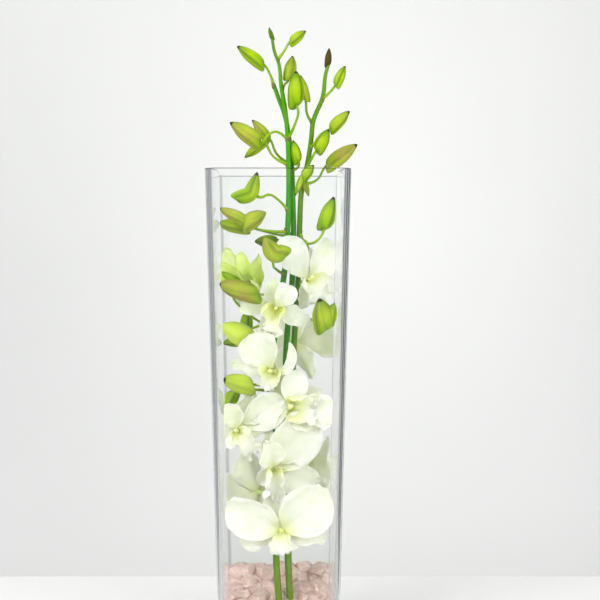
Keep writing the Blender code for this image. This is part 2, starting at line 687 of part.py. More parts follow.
def bloom_stalk(name, bloom, collection):
    """The stalk from its stem to just short of the bloom's neck."""
    stem, height = bloom["stalk"]
    start = stem_point(stem, height)
    back = (neck_end(bloom) - vector_mm(bloom["at"])).normalized()
    end = neck_end(bloom) + back * GAP
    bend = end + back * (end - start).length * 0.35
    middle = [start.lerp(bend, share).lerp(bend.lerp(end, share), share) for share in (0.3, 0.55, 0.8)]
    route = [start, *middle, end]
    radii = [STALK_RADIUS * 1.3, *[STALK_RADIUS] * 3, STALK_RADIUS * 1.1]
    return tube(name, route, radii, STALK_SIDES, collection)


def make_stem(stem, parts, material):
    """One flower stem with every stalk, scale and bud that grows from it."""
    route = stem_route(stem)
    radii = [in_table(STEM_THICKNESS, place.z / MM) / 2 * MM for place in route]
    pieces = [tube(stem, route, radii, STEM_SIDES, parts)]
    for number, (owner, way, base, tip, thickness, *chin) in enumerate(BUDS):
        if owner != stem:
            continue
        name = f"{stem}_bud_{number}"
        base, tip = vector_mm(base), vector_mm(tip)
        pieces += make_bud(name, base, tip, thickness, chin, parts)
        if way:
            points = [vector_mm(point) for point in way]
            points[0] = stem_point(stem, way[0][2])
            sunk = base.lerp(tip, BUD_SINK)
            pieces.append(stalk(f"{name}_stalk", [*points, base, sunk], parts))
            pieces.append(make_bract(f"{name}_bract", stem, way[0][2], points[1] - points[0], parts))
    for name, bloom in BLOOMS.items():
        if bloom["stalk"][0] != stem:
            continue
        pieces.append(bloom_stalk(f"{name}_stalk", bloom, parts))
    fuse(stem, pieces, parts, material)


def main():
    clear_scene()
    parts = make_collection("orchid_in_vase")
    cutters = make_collection("cutters")
    materials = {name: make_material(name) for name in COLOURS}
    make_vase(parts, cutters, materials["clear_glass"])
    make_stones(parts, cutters, materials["rose_quartz"])
    for stem in STEMS:
        make_stem(stem, parts, materials["orchid_green"])
    for name, bloom in BLOOMS.items():
        make_bloom(name, bloom, parts, materials["orchid_white"])


main()
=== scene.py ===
# %% [markdown]
# # White dendrobium orchids in a tall glass vase
#
# Three cut orchid stems stand in a square vase of clear glass. Their feet are held
# by a heap of rose quartz chips, their tops carry green buds, and the open white
# flowers hang inside the glass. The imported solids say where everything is. This
# lesson replaces each of them with a finer piece in the same place.

import math
import random

import bmesh
import bpy
from mathutils import Matrix, Vector


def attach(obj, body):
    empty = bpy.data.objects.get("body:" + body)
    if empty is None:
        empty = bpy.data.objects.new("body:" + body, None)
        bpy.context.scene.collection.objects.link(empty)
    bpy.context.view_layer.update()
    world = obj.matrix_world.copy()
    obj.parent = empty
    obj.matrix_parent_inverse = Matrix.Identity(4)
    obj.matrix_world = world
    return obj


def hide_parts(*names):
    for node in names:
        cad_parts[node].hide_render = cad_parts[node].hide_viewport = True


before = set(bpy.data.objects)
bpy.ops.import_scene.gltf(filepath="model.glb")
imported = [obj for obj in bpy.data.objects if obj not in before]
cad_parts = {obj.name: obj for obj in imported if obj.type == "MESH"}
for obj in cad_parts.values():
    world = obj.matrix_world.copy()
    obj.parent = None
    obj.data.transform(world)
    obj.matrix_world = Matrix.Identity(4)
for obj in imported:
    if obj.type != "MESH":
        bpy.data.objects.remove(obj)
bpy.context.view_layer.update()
MM = 0.001

# %% [markdown]
# ## The camera
#
# The photograph was taken from just under the rim, a step away, tilted down a
# little: the front edge of the rim shows above the back one. A long lens keeps the
# vase's sides almost straight. The camera comes first, because every place that is
# judged depends on it.

# %% Camera
CAMERA_PLACE = (15.3 * MM, -800 * MM, 307 * MM)
CAMERA_TILT = 3.22
bpy.ops.object.camera_add(location=CAMERA_PLACE, rotation=(math.radians(90 - CAMERA_TILT), 0, 0))
camera = bpy.context.object
camera.name = "camera"
camera.data.sensor_width = 36
camera.data.lens = 65.1
bpy.context.scene.camera = camera
print("camera lens", camera.data.lens, "mm, tilted down", CAMERA_TILT, "degrees")

# %% [markdown]
# ## Hands for the work
#
# Every piece below is shaped the same way: a primitive is added, some of its corners
# are chosen by their place, and they are moved, scaled or turned in edit mode. These
# small helpers do the choosing. With no window open, the rotate operator turns the
# other way round, so one helper turns by the usual right-hand rule.

# %% Helpers for shaping


def only(*things):
    """Selects these objects and nothing else, the first of them active."""
    bpy.ops.object.select_all(action="DESELECT")
    for thing in things:
        thing.select_set(True)
    bpy.context.view_layer.objects.active = things[0]


def named(name):
    """Names the object that was just added."""
    thing = bpy.context.object
    thing.name = name
    thing.data.name = name
    return thing


def edit(thing):
    """Opens an object for shaping and gives its live corners, edges and faces."""
    only(thing)
    bpy.ops.object.mode_set(mode="EDIT")
    bpy.ops.mesh.select_mode(type="VERT")
    return bmesh.from_edit_mesh(thing.data)


def done():
    """Closes the object that is open for shaping."""
    bpy.ops.object.mode_set(mode="OBJECT")


def choose(shape, test):
    """Selects the corners that pass the test, and nothing else."""
    for vert in shape.verts:
        vert.select_set(test(vert))
    shape.select_flush_mode()


def turn(angle, axis, centre):
    """Turns what is chosen by the right-hand rule, by an angle in radians."""
    bpy.ops.transform.rotate(value=-angle, orient_axis=axis, center_override=centre)


def apply_all(thing):
    """Applies every modifier, then the object's own place, so that it is all mesh."""
    only(thing)
    for modifier in list(thing.modifiers):
        bpy.ops.object.modifier_apply(modifier=modifier.name)
    bpy.ops.object.transform_apply(location=True, rotation=True, scale=True)


def axes_at(x, y, z, origin):
    """A place in space, given by its own three axes and its origin."""
    place = Matrix((x, y, z)).transposed().to_4x4()
    place.translation = origin
    return place


def smooth_once(thing):
    """Adds one level of subdivision, which apply_all makes final."""
    smoother = thing.modifiers.new("smoother", "SUBSURF")
    smoother.levels = smoother.render_levels = 1


def fuse(name, pieces):
    """Joins pieces into one object that sits at the origin."""
    only(*pieces)
    if len(pieces) > 1:
        bpy.ops.object.join()
    whole = bpy.context.object
    whole.name = name
    whole.data.name = name
    whole.vertex_groups.clear()
    return whole


def count(thing):
    """The number of triangles."""
    thing.data.calc_loop_triangles()
    return len(thing.data.loop_triangles)


def stand_for(thing, node):
    """The finished piece moves with the part and is shown in place of its solid."""
    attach(thing, "root")
    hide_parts(node)
    print(thing.name, count(thing), "triangles, for", node)


# %% [markdown]
# ## Finishes
#
# A plant is never one flat colour. Each finish below starts from a Principled
# shader, and a few small helpers add what the real surface shows: a colour that runs
# from root to tip, fine veins, or soft patches. Petals and buds read their own UV
# map, so veins follow their length; stems and stones read Object coordinates.

# %% Helpers for finishes


class Nodes:
    """Short names for adding nodes to a node tree."""

    def __init__(self, tree):
        self.tree = tree

    def feed(self, socket, source):
        """Puts a number, a colour or another node's output into a socket."""
        if isinstance(source, bpy.types.NodeSocket):
            self.tree.links.new(source, socket)
        elif isinstance(source, tuple) and socket.type == "RGBA":
            socket.default_value = (*source, 1)
        else:
            socket.default_value = source

    def node(self, kind, **settings):
        """Adds a node. Each setting is one of its properties or one of its sockets."""
        node = self.tree.nodes.new(kind)
        for key, value in settings.items():
            if hasattr(node, key):
                setattr(node, key, value)
            else:
                self.feed(node.inputs[key.replace("_", " ")], value)
        return node

    def ramp(self, factor, *stops):
        """Colours at places from 0 to 1, picked by the factor."""
        node = self.node("ShaderNodeValToRGB", Fac=factor)
        elements = node.color_ramp.elements
        while len(elements) < len(stops):
            elements.new(0.5)
        for element, (place, colour) in zip(elements, stops):
            element.position = place
            element.color = (*colour, 1)
        return node.outputs["Color"]

    def spread(self, factor, low, high, least=0, most=1):
        """Stretches a factor so that low becomes the least and high the most."""
        limits = dict(From_Min=low, From_Max=high, To_Min=least, To_Max=most)
        return self.node("ShaderNodeMapRange", clamp=True, Value=factor, **limits).outputs["Result"]

    def mix(self, factor, first, second):
        """Mixes two colours, which are sockets 6 and 7 of their node."""
        node = self.node("ShaderNodeMix", data_type="RGBA")
        for socket, source in ((0, factor), (6, first), (7, second)):
            self.feed(node.inputs[socket], source)
        return node.outputs[2]

    def over(self, body, colour, factor, low, high, most=1):
        """Lays a colour over the body where the factor comes near high."""
        return self.mix(self.spread(factor, low, high, most=most), body, colour)

    def math(self, operation, first, second=0):
        """One operation, such as ADD, on numbers or on other nodes' outputs."""
        node = self.node("ShaderNodeMath", operation=operation)
        self.feed(node.inputs[0], first)
        self.feed(node.inputs[1], second)
        return node.outputs[0]

    def place(self, source="Object", scale=(1, 1, 1), shift=(0, 0, 0)):
        """Coordinates, stretched by a scale and then moved by a shift."""
        where = self.node("ShaderNodeTexCoord").outputs[source]
        return self.node("ShaderNodeMapping", Vector=where, Scale=scale, Location=shift).outputs[0]

    def noise(self, where, scale, detail=3, roughness=0.5):
        settings = dict(Scale=scale, Detail=detail, Roughness=roughness)
        return self.node("ShaderNodeTexNoise", Vector=where, **settings).outputs["Fac"]

    def attribute(self, name):
        return self.node("ShaderNodeAttribute", attribute_name=name).outputs["Fac"]

    def split(self, where, axis):
        return self.node("ShaderNodeSeparateXYZ", Vector=where).outputs[axis]


class Finish(Nodes):
    """A material with its Principled shader. What is the same all over the surface is
    set on the shader itself."""

    def __init__(self, name, **constants):
        self.material = bpy.data.materials.new(name)
        self.material.use_nodes = True
        super().__init__(self.material.node_tree)
        self.shader = self.tree.nodes["Principled BSDF"]
        for socket, value in constants.items():
            self.feed(self.shader.inputs[socket.replace("_", " ")], value)

    def colour(self, source):
        self.feed(self.shader.inputs["Base Color"], source)

    def relief(self, height, strength, distance):
        bump = self.node("ShaderNodeBump", Height=height, Strength=strength, Distance=distance)
        self.feed(self.shader.inputs["Normal"], bump.outputs["Normal"])


# %% [markdown]
# ### Petals
#
# A dendrobium petal is thin and waxy. It is creamy white, greener toward its root,
# with faint veins that fan out from the root. Light passes through it, which the
# shader's subsurface weight imitates. The value "tint" is painted on each petal: 0 is
# the whitest, 1 the greenest. It is partly the petal's own green and partly painted
# shade: flowers further back and petals in the shade of others are painted greener.

# %% Petal, lip and column finishes
THIN = dict(Subsurface_Weight=0.6, Subsurface_Radius=(1.0, 1.0, 0.75), Subsurface_Scale=4 * MM)
VEIN_GRAIN = (26, 1.6, 1)
BUTTER = (0.76, 0.8, 0.3)


def petal_finish(name, root, pale, green, rim, vein_strength):
    finish = Finish(name, Roughness=0.42, **THIN)
    across, along = (finish.split(finish.place("UV"), axis) for axis in (0, 1))
    off_middle = finish.math("ABSOLUTE", finish.math("SUBTRACT", across, 0.5))
    margin = finish.math("MAXIMUM", finish.spread(off_middle, 0.38, 0.5), finish.spread(along, 0.88, 1))
    veins = finish.noise(finish.place("UV", VEIN_GRAIN), 1, 2)
    patches = finish.noise(finish.place(), 70, 2)
    tint = finish.math("ADD", finish.attribute("tint"), finish.spread(patches, 0.2, 0.8))
    body = finish.mix(finish.spread(tint, 0.4, 1.5), pale, green)
    body = finish.over(body, root, along, 0.32, 0)
    body = finish.over(body, green, veins, 0.5, 0.72, vein_strength)
    # Painted highlight: the margin is painted lighter, as if light caught the petal's thin edge.
    finish.colour(finish.mix(finish.math("MULTIPLY", margin, finish.spread(along, 0.1, 0.3)), body, rim))
    finish.relief(veins, 0.25, 0.3 * MM)
    return finish.material


def lip_finish():
    finish = Finish("lip_cream", Roughness=0.45, **THIN)
    along = finish.split(finish.place("UV"), 1)
    veins = finish.noise(finish.place("UV", (30, 2, 1)), 1, 2)
    white = finish.ramp(
        along, (0, (0.5, 0.46, 0.12)), (0.12, BUTTER), (0.25, (0.9, 0.92, 0.66)), (0.5, (0.95, 0.95, 0.85)),
    )
    yellow = finish.ramp(
        along, (0, (0.42, 0.38, 0.08)), (0.12, (0.6, 0.64, 0.12)), (0.4, (0.78, 0.84, 0.26)),
        (0.65, (0.92, 0.94, 0.6)), (0.9, (0.95, 0.95, 0.8)),
    )
    body = finish.mix(finish.attribute("tint"), white, yellow)
    finish.colour(finish.over(body, BUTTER, veins, 0.5, 0.7, 0.25))
    finish.relief(veins, 0.4, 0.4 * MM)
    return finish.material


def column_finish():
    finish = Finish("column_green", Roughness=0.4, **THIN)
    where = finish.place()
    cloud, spots = finish.noise(where, 160, 2), finish.noise(where, 420, 2)
    body = finish.over((0.85, 0.87, 0.45), (0.6, 0.68, 0.14), cloud, 0.35, 0.65)
    finish.colour(finish.over(body, (0.36, 0.22, 0.05), spots, 0.62, 0.7))
    finish.relief(spots, 0.2, 0.3 * MM)
    return finish.material


YOUNG_GREEN = (0.46, 0.64, 0.06)
# The rim colour is a painted highlight on the white petals; on the lime ones it is their own green.
petal_material = petal_finish(
    "petal_white", root=(0.76, 0.82, 0.34), pale=(0.9, 0.915, 0.74), green=(0.72, 0.79, 0.44),
    rim=(0.95, 0.955, 0.82), vein_strength=0.22,
)
young_material = petal_finish(
    "petal_lime", root=(0.34, 0.48, 0.02), pale=(0.8, 0.88, 0.4), green=YOUNG_GREEN,
    rim=YOUNG_GREEN, vein_strength=0.6,
)
lip_material = lip_finish()
column_material = column_finish()
print("petal, lip and column finishes made")

# %% [markdown]
# ### Buds and stems
#
# Buds are lime green, lighter along their ridges, and end in a dry brown tip. Some
# are blushed with an old rose. Each bud also carries a painted highlight on its fat
# middle and painted shade toward its base and its tip. The stems are a strong green
# that turns yellower toward their cut feet, with fine fibres along them, and the thin
# flower stalks are the colour of the buds.

# %% Bud, stalk and stem finishes
WAXY = dict(Subsurface_Weight=0.12, Subsurface_Radius=(0.7, 1.0, 0.1), Subsurface_Scale=2 * MM)


def bud_finish():
    finish = Finish("bud_lime", Roughness=0.4, Specular_IOR_Level=0.14, **WAXY)
    along = finish.split(finish.place("UV"), 1)
    streaks = finish.noise(finish.place("UV", (16, 1.4, 1)), 1)
    patches = finish.noise(finish.place(), 90, 2)
    # Painted highlight and shade: lighter round the bud's fat middle, darker at its base and toward its tip.
    body = finish.ramp(
        along, (0, (0.09, 0.22, 0)), (0.22, (0.25, 0.43, 0)), (0.5, (0.34, 0.5, 0)), (0.78, (0.13, 0.28, 0)),
    )
    body = finish.over(body, (0.07, 0.2, 0), streaks, 0.45, 0.75, 0.6)
    body = finish.over(body, (0.42, 0.5, 0.04), patches, 0.5, 0.75, 0.35)
    # Painted shade: the pressed-in seams are darkened.
    body = finish.over(body, (0.04, 0.13, 0), finish.attribute("seam"), 0, 1, 0.8)
    body = finish.over(body, (0.62, 0.74, 0.1), finish.attribute("pale"), 0, 1, 0.8)
    tint = finish.attribute("tint")
    body = finish.over(body, (0.03, 0.11, 0), tint, 0, -1)
    blush = finish.math("MULTIPLY", finish.spread(tint, 0, 1, most=0.8), finish.spread(patches, 0.25, 0.6))
    blush = finish.math("MULTIPLY", blush, finish.spread(along, 0.1, 0.4))
    rosy = finish.over((0.42, 0.42, 0.06), (0.38, 0.22, 0.07), streaks, 0.35, 0.65)
    body = finish.mix(blush, body, rosy)
    body = finish.over(body, (0.06, 0.045, 0.004), tint, 1, 1.8)
    tip = finish.math("MULTIPLY", finish.spread(along, 0.79, 0.84), finish.attribute("dry"))
    finish.colour(finish.mix(tip, body, (0.025, 0.015, 0.005)))
    finish.relief(streaks, 0.4, 0.6 * MM)
    return finish.material


def stalk_finish():
    finish = Finish("stalk_green", Roughness=0.45, Specular_IOR_Level=0.18)
    where = finish.place()
    body = finish.over((0.14, 0.33, 0.003), (0.3, 0.45, 0.01), finish.noise(where, 60), 0.3, 0.7)
    finish.colour(finish.mix(finish.attribute("tint"), body, (0.6, 0.68, 0.28)))
    finish.relief(finish.noise(where, 900, 2), 0.15, 0.3 * MM)
    return finish.material


def stem_finish():
    """Green by height in metres, and olive where the tint is 1."""
    finish = Finish("stem_green", Roughness=0.45, Specular_IOR_Level=0.12)
    body = finish.ramp(
        finish.spread(finish.split(finish.place(), 2), 0, 0.46),
        (0, (0.155, 0.22, 0)), (0.17, (0.115, 0.235, 0)), (0.36, (0.02, 0.2, 0)), (0.62, (0.02, 0.25, 0)),
        (0.82, (0.04, 0.3, 0)), (0.93, (0.09, 0.3, 0)), (1, (0.09, 0.13, 0.01)),
    )
    body = finish.mix(finish.attribute("tint"), body, (0.13, 0.24, 0.004))
    fibres = finish.noise(finish.place(scale=(1, 1, 0.06)), 900)
    body = finish.over(body, (0.14, 0.42, 0.01), fibres, 0.4, 0.7, 0.35)
    flecks = finish.noise(finish.place(scale=(1, 1, 0.3)), 210, 2)
    finish.colour(finish.over(body, (0.2, 0.2, 0.02), flecks, 0.62, 0.75, 0.5))
    finish.relief(fibres, 0.35, 0.4 * MM)
    return finish.material


def scale_finish():
    """The small dry scales under each stalk."""
    finish = Finish("scale_brown", Roughness=0.6)
    tone = finish.spread(finish.noise(finish.place(), 500), 0.3, 0.7)
    finish.colour(finish.mix(tone, (0.11, 0.07, 0.005), (0.16, 0.24, 0.005)))
    finish.relief(tone, 0.3, 0.3 * MM)
    return finish.material


bud_material = bud_finish()
stalk_material = stalk_finish()
stem_material = stem_finish()
scale_material = scale_finish()
print("bud, stalk, stem and scale finishes made")

# %% [markdown]
# ### Rose quartz and glass
#
# Rose quartz is milky pink with paler veins and glassy breaks. The vase is clear
# glass with the faintest green. Its upright corners and its rim are painted grey:
# partly the tint of the thicker glass there, and partly painted shade that stands in
# for the dark streaks along those edges. The glass is also painted a little darker
# toward its foot. Glass that bends light also blocks it in a path tracer, so for
# shadow and diffuse rays the material steps aside and lets the light straight through
# to the flowers. It does the same for light that is still mirrored inside the wall
# after a few turns, which would otherwise end as a black band.

# %% Quartz and glass finishes
MILKY = dict(Subsurface_Weight=0.1, Subsurface_Radius=(1.0, 0.7, 0.6), Subsurface_Scale=4 * MM)
VASE_HEIGHT = 356 * MM
RIM_WIDTH, FOOT_WIDTH = 102 * MM, 86 * MM
WIDENING = (RIM_WIDTH - FOOT_WIDTH) / VASE_HEIGHT
MIRRORED_MOST = 2


def quartz_finish():
    finish = Finish("rose_quartz", Roughness=0.32, **MILKY)
    where = finish.place()
    cloud = finish.noise(where, 75, 4, 0.6)
    cracks = finish.node("ShaderNodeTexVoronoi", feature="DISTANCE_TO_EDGE", Scale=130, Vector=where)
    body = finish.over((0.62, 0.425, 0.37), (0.69, 0.5, 0.45), cloud, 0.35, 0.68)
    finish.colour(finish.over(body, (0.78, 0.62, 0.58), cracks.outputs["Distance"], 0.07, 0))
    finish.relief(finish.noise(where, 480), 0.3, 0.6 * MM)
    return finish.material


def thick_edge_shade(finish):
    """1 on the vase's rounded upright corners and on its rim, 0 on the broad faces: where
    the glass is painted grey, partly for the thicker glass and partly as painted shade.
    At a corner, the distances from the middle along X and Y add up to nearly the width."""
    where = finish.place()
    across, away = (finish.math("ABSOLUTE", finish.split(where, axis)) for axis in (0, 1))
    height = finish.split(where, 2)
    widened = finish.math("MULTIPLY", height, WIDENING)
    reach = finish.math("SUBTRACT", finish.math("ADD", across, away), widened)
    corner = finish.spread(reach, FOOT_WIDTH - 6.2 * MM, FOOT_WIDTH - 5.4 * MM)
    rim = finish.spread(height, VASE_HEIGHT - 0.9 * MM, VASE_HEIGHT - 0.4 * MM)
    return finish.math("MAXIMUM", corner, rim)


def glass_finish():
    finish = Finish("clear_glass", Roughness=0, IOR=1.5, Transmission_Weight=1, Specular_Tint=(0.4, 0.4, 0.4))
    # Painted shade: the glass is darker toward its foot and clears toward the rim.
    low_shade = finish.mix(
        finish.noise(finish.place(scale=(1, 1, 0.15)), 12, 1), (0.88, 0.885, 0.88), (0.91, 0.915, 0.905),
    )
    height = finish.split(finish.place(), 2)
    body = finish.over(low_shade, (0.975, 0.985, 0.975), height, 20 * MM, 340 * MM)
    # Painted shade: the corners and the rim are darkened to grey, standing in for the dark streaks along
    # those edges.
    finish.colour(finish.mix(thick_edge_shade(finish), body, (0.42, 0.43, 0.45)))
    finish.relief(finish.noise(finish.place(scale=(1, 1, 0.25)), 22, 1), 0.02, 2 * MM)
    rays = finish.node("ShaderNodeLightPath").outputs
    trapped = finish.math("GREATER_THAN", rays["Glossy Depth"], MIRRORED_MOST)
    passing = finish.math("MAXIMUM", rays["Is Shadow Ray"], rays["Is Diffuse Ray"])
    blend = finish.node("ShaderNodeMixShader")
    clear = finish.node("ShaderNodeBsdfTransparent", Color=(0.96, 0.97, 0.965))
    finish.feed(blend.inputs[0], finish.math("MAXIMUM", passing, trapped))
    finish.feed(blend.inputs[1], finish.shader.outputs[0])
    finish.feed(blend.inputs[2], clear.outputs[0])
    finish.feed(finish.tree.nodes["Material Output"].inputs["Surface"], blend.outputs[0])
    return finish.material


quartz_material = quartz_finish()
glass_material = glass_finish()
print("quartz and glass finishes made, the vase widens by", round(WIDENING * 100, 1), "mm in 100")

# %% [markdown]
# ## The vase
#
# The real vase is cast in a mould: a square block with rounded corners that widens
# upward, with thick walls and a thicker floor. A cube gives its outside. Its top is
# inset by the wall and pushed down to make the hollow, so outside and inside stay
# one skin. Bevels round the upright corners, the rim and the foot.

# %% The vase
GLASS_WALL, GLASS_FLOOR = 3.5 * MM, 10 * MM
CORNER_RADIUS, INNER_RADIUS, TOP_INNER_RADIUS = 9 * MM, 5.5 * MM, 7.5 * MM


def outer_width(height):
    return FOOT_WIDTH + WIDENING * height


def inner_half(height):
    return outer_width(height) / 2 - GLASS_WALL


def round_edges(thing, test, radius, segments):
    """Bevels the open object's edges whose two ends pass the test."""
    shape = bmesh.from_edit_mesh(thing.data)
    bpy.ops.mesh.select_mode(type="EDGE")
    for edge in shape.edges:
        edge.select_set(test(*(vert.co for vert in edge.verts)))
    shape.select_flush_mode()
    bpy.ops.mesh.bevel(offset=radius, segments=segments, affect="EDGES", clamp_overlap=True)


def thicken_top_corners(vase):
    """Pushed glass gathers in the corners of the rim: the hollow is rounder there."""
    shape = bmesh.from_edit_mesh(vase.data)
    middle = inner_half(VASE_HEIGHT) - INNER_RADIUS
    back = INNER_RADIUS - TOP_INNER_RADIUS
    ratio = TOP_INNER_RADIUS / INNER_RADIUS
    for side_x in (-1, 1):
        for side_y in (-1, 1):

            def on_arc(vert):
                x, y = side_x * vert.co.x - middle, side_y * vert.co.y - middle
                reach = math.hypot(x, y)
                return vert.co.z > VASE_HEIGHT / 2 and min(x, y) > -MM / 10 and reach < INNER_RADIUS * 1.2

            choose(shape, on_arc)
            centre = (side_x * middle, side_y * middle, VASE_HEIGHT)
            bpy.ops.transform.resize(value=(ratio, ratio, 1), center_override=centre)
            bpy.ops.transform.translate(value=(side_x * back, side_y * back, 0))


def make_vase():
    bpy.ops.mesh.primitive_cube_add(size=1, location=(0, 0, VASE_HEIGHT / 2))
    vase = named("vase_glass")
    vase.scale = (FOOT_WIDTH, FOOT_WIDTH, VASE_HEIGHT)
    apply_all(vase)
    shape = edit(vase)
    choose(shape, lambda vert: vert.co.z > VASE_HEIGHT / 2)
    bpy.ops.transform.resize(value=(RIM_WIDTH / FOOT_WIDTH, RIM_WIDTH / FOOT_WIDTH, 1))
    bpy.ops.mesh.inset(thickness=GLASS_WALL)
    bpy.ops.mesh.extrude_region_move(TRANSFORM_OT_translate={"value": (0, 0, GLASS_FLOOR - VASE_HEIGHT)})
    narrower = inner_half(GLASS_FLOOR) / inner_half(VASE_HEIGHT)
    bpy.ops.transform.resize(value=(narrower, narrower, 1))

    def is_upright(a, b):
        return abs(a.z - b.z) > VASE_HEIGHT / 2

    floor, level = GLASS_FLOOR, VASE_HEIGHT - MM
    round_edges(vase, lambda a, b: is_upright(a, b) and min(a.z, b.z) < floor / 2, CORNER_RADIUS, 8)
    round_edges(vase, lambda a, b: is_upright(a, b) and min(a.z, b.z) > floor / 2, INNER_RADIUS, 8)
    thicken_top_corners(vase)
    round_edges(vase, lambda a, b: min(a.z, b.z) > level, 0.8 * MM, 3)
    round_edges(vase, lambda a, b: max(a.z, b.z) < MM, 1.5 * MM, 3)
    round_edges(vase, lambda a, b: abs(a.z - floor) < MM and abs(b.z - floor) < MM, 2.5 * MM, 4)
    done()
    bpy.ops.object.shade_smooth_by_angle(angle=math.radians(35))
    flats = vase.modifiers.new("flats", "WEIGHTED_NORMAL")
    flats.keep_sharp = True
    apply_all(vase)
    vase.data.materials.append(glass_material)
    return vase


stand_for(make_vase(), "vase")

# %% [markdown]
# ## The stones
#
# The chips are broken rose quartz about a centimetre across, level at the front and
# heaped against the back. Six chips are cut from icospheres with a few flat slices,
# as a hammer would leave them. Copies of them, turned and shifted at random, cover a
# plain core, so that the heap looks full without thousands of hidden chips.

# %% The stones
STONE_FRONT, STONE_BACK = 31 * MM, 55 * MM
HEAP_START, HEAP_SLOPE = -8 * MM, 0.5
CHIP_RADIUS, CHIP_PITCH = 9.2 * MM, 8.6 * MM
CHIP_KINDS, CHIP_SLICES = 6, 7
CHIP_GAP = 0.5 * MM
LOOSENESS = 1.9 * MM
chance = random.Random(11)


def stone_level(away):
    """Height of the stones at a place behind the vase's middle."""
    return min(STONE_BACK, STONE_FRONT + HEAP_SLOPE * max(0, away - HEAP_START))


def cut_chip(number):
    bpy.ops.mesh.primitive_ico_sphere_add(subdivisions=2, radius=CHIP_RADIUS)
    chip = named(f"chip_{number}")
    edit(chip)
    for _ in range(CHIP_SLICES):
        lean = Vector((chance.gauss(0, 1), chance.gauss(0, 1), chance.gauss(0, 1))).normalized()
        bpy.ops.mesh.select_all(action="SELECT")
        depth = CHIP_RADIUS * chance.uniform(0.42, 0.74)
        bpy.ops.mesh.bisect(plane_co=lean * depth, plane_no=lean, use_fill=True, clear_outer=True)
    bpy.ops.mesh.select_all(action="SELECT")
    bpy.ops.mesh.dissolve_limited(angle_limit=math.radians(9))
    bpy.ops.transform.resize(value=(1.15, 0.95, 0.78))
    done()
    worn = chip.modifiers.new("worn", "BEVEL")
    worn.width = 0.35 * MM
    worn.segments = 1
    bpy.ops.object.modifier_apply(modifier="worn")
    return chip


def copy_of(thing, place):
    """A copy with its own mesh, put in place."""
    twin = thing.copy()
    twin.data = thing.data.copy()
    bpy.context.collection.objects.link(twin)
    twin.data.transform(place)
    return twin


def make_core():
    """The inside of the heap, which shows only between the chips."""
    low, high = GLASS_FLOOR + CHIP_GAP, STONE_BACK - 2.5 * MM
    bpy.ops.mesh.primitive_cube_add(size=1)
    core = named("stone_core")
    shape = edit(core)
    inset = 1.6 * MM
    for side, height in ((-1, low), (1, high)):
        half = inner_half(height) - inset
        choose(shape, lambda vert: vert.co.z * side > 0.2)
        bpy.ops.transform.resize(value=(2 * half, 2 * half, 1))
        bpy.ops.transform.translate(value=(0, 0, height - side / 2))
    bpy.ops.mesh.select_all(action="SELECT")
    bpy.ops.mesh.bisect(plane_co=(0, HEAP_START, 0), plane_no=(0, 1, 0))
    shape = bmesh.from_edit_mesh(core.data)
    choose(shape, lambda vert: vert.co.z > high - MM and vert.co.y < HEAP_START + MM)
    bpy.ops.transform.translate(value=(0, 0, STONE_FRONT - STONE_BACK))
    done()
    return core


# %% The heap


def heap_places():
    """Middles of the chips that show: on top, and along the four walls."""
    steps = [(n - 4) * CHIP_PITCH for n in range(9)]
    places = []
    for across in steps:
        for away in steps:
            places.append((across, away, stone_level(away) - 4.4 * MM))
            places.append((across + CHIP_PITCH / 2, away + CHIP_PITCH / 2, stone_level(away) - 5.6 * MM))
        for level in (15, 22, 29, 36, 43, 49):
            for x, y in ((across, -1), (across, 1), (-1, across), (1, across)):
                edge = inner_half(level * MM) - CHIP_RADIUS * 0.8
                place = (x if abs(x) < 1 else x * edge, y if abs(y) < 1 else y * edge, level * MM)
                if place[2] < stone_level(place[1]) - 2 * MM:
                    places.append(place)
    return places


def push_inside(chip):
    """Moves a chip back where it would go through the glass or the floor."""
    corners = [vert.co for vert in chip.data.vertices]
    shift = Vector((0, 0, 0))
    for axis in (0, 1):
        for sign in (-1, 1):
            past = max(sign * corner[axis] - inner_half(corner.z) + CHIP_GAP for corner in corners)
            if past > 0:
                shift[axis] -= sign * past
    shift.z = max(0, GLASS_FLOOR + CHIP_GAP - min(corner.z for corner in corners))
    chip.data.transform(Matrix.Translation(shift))


def make_stones():
    chips = [cut_chip(number) for number in range(CHIP_KINDS)]
    pieces = [make_core()]
    for place in heap_places():
        where = Vector(place) + Vector(chance.uniform(-1, 1) for _ in range(3)) * LOOSENESS
        spin = Matrix.Rotation(chance.uniform(0, math.tau), 4, "Z")
        spin = spin @ Matrix.Rotation(chance.gauss(0, 0.5), 4, "X")
        size = chance.uniform(0.78, 1.12)
        chip = copy_of(chance.choice(chips), Matrix.Translation(where) @ spin @ Matrix.Scale(size, 4))
        push_inside(chip)
        pieces.append(chip)
    for chip in chips:
        bpy.data.objects.remove(chip)
    stones = fuse("quartz_chips", pieces)
    stones.data.materials.clear()
    stones.data.materials.append(quartz_material)
    return stones


print(len(heap_places()), "chips in the heap")
stand_for(make_stones(), "rose_quartz")

# %% [markdown]
# ## Where the stems and buds are
#
# These routes and places are the ones that the solids were built from, in
# millimetres. Each bud's tip, heel and colour is judged from the photograph.

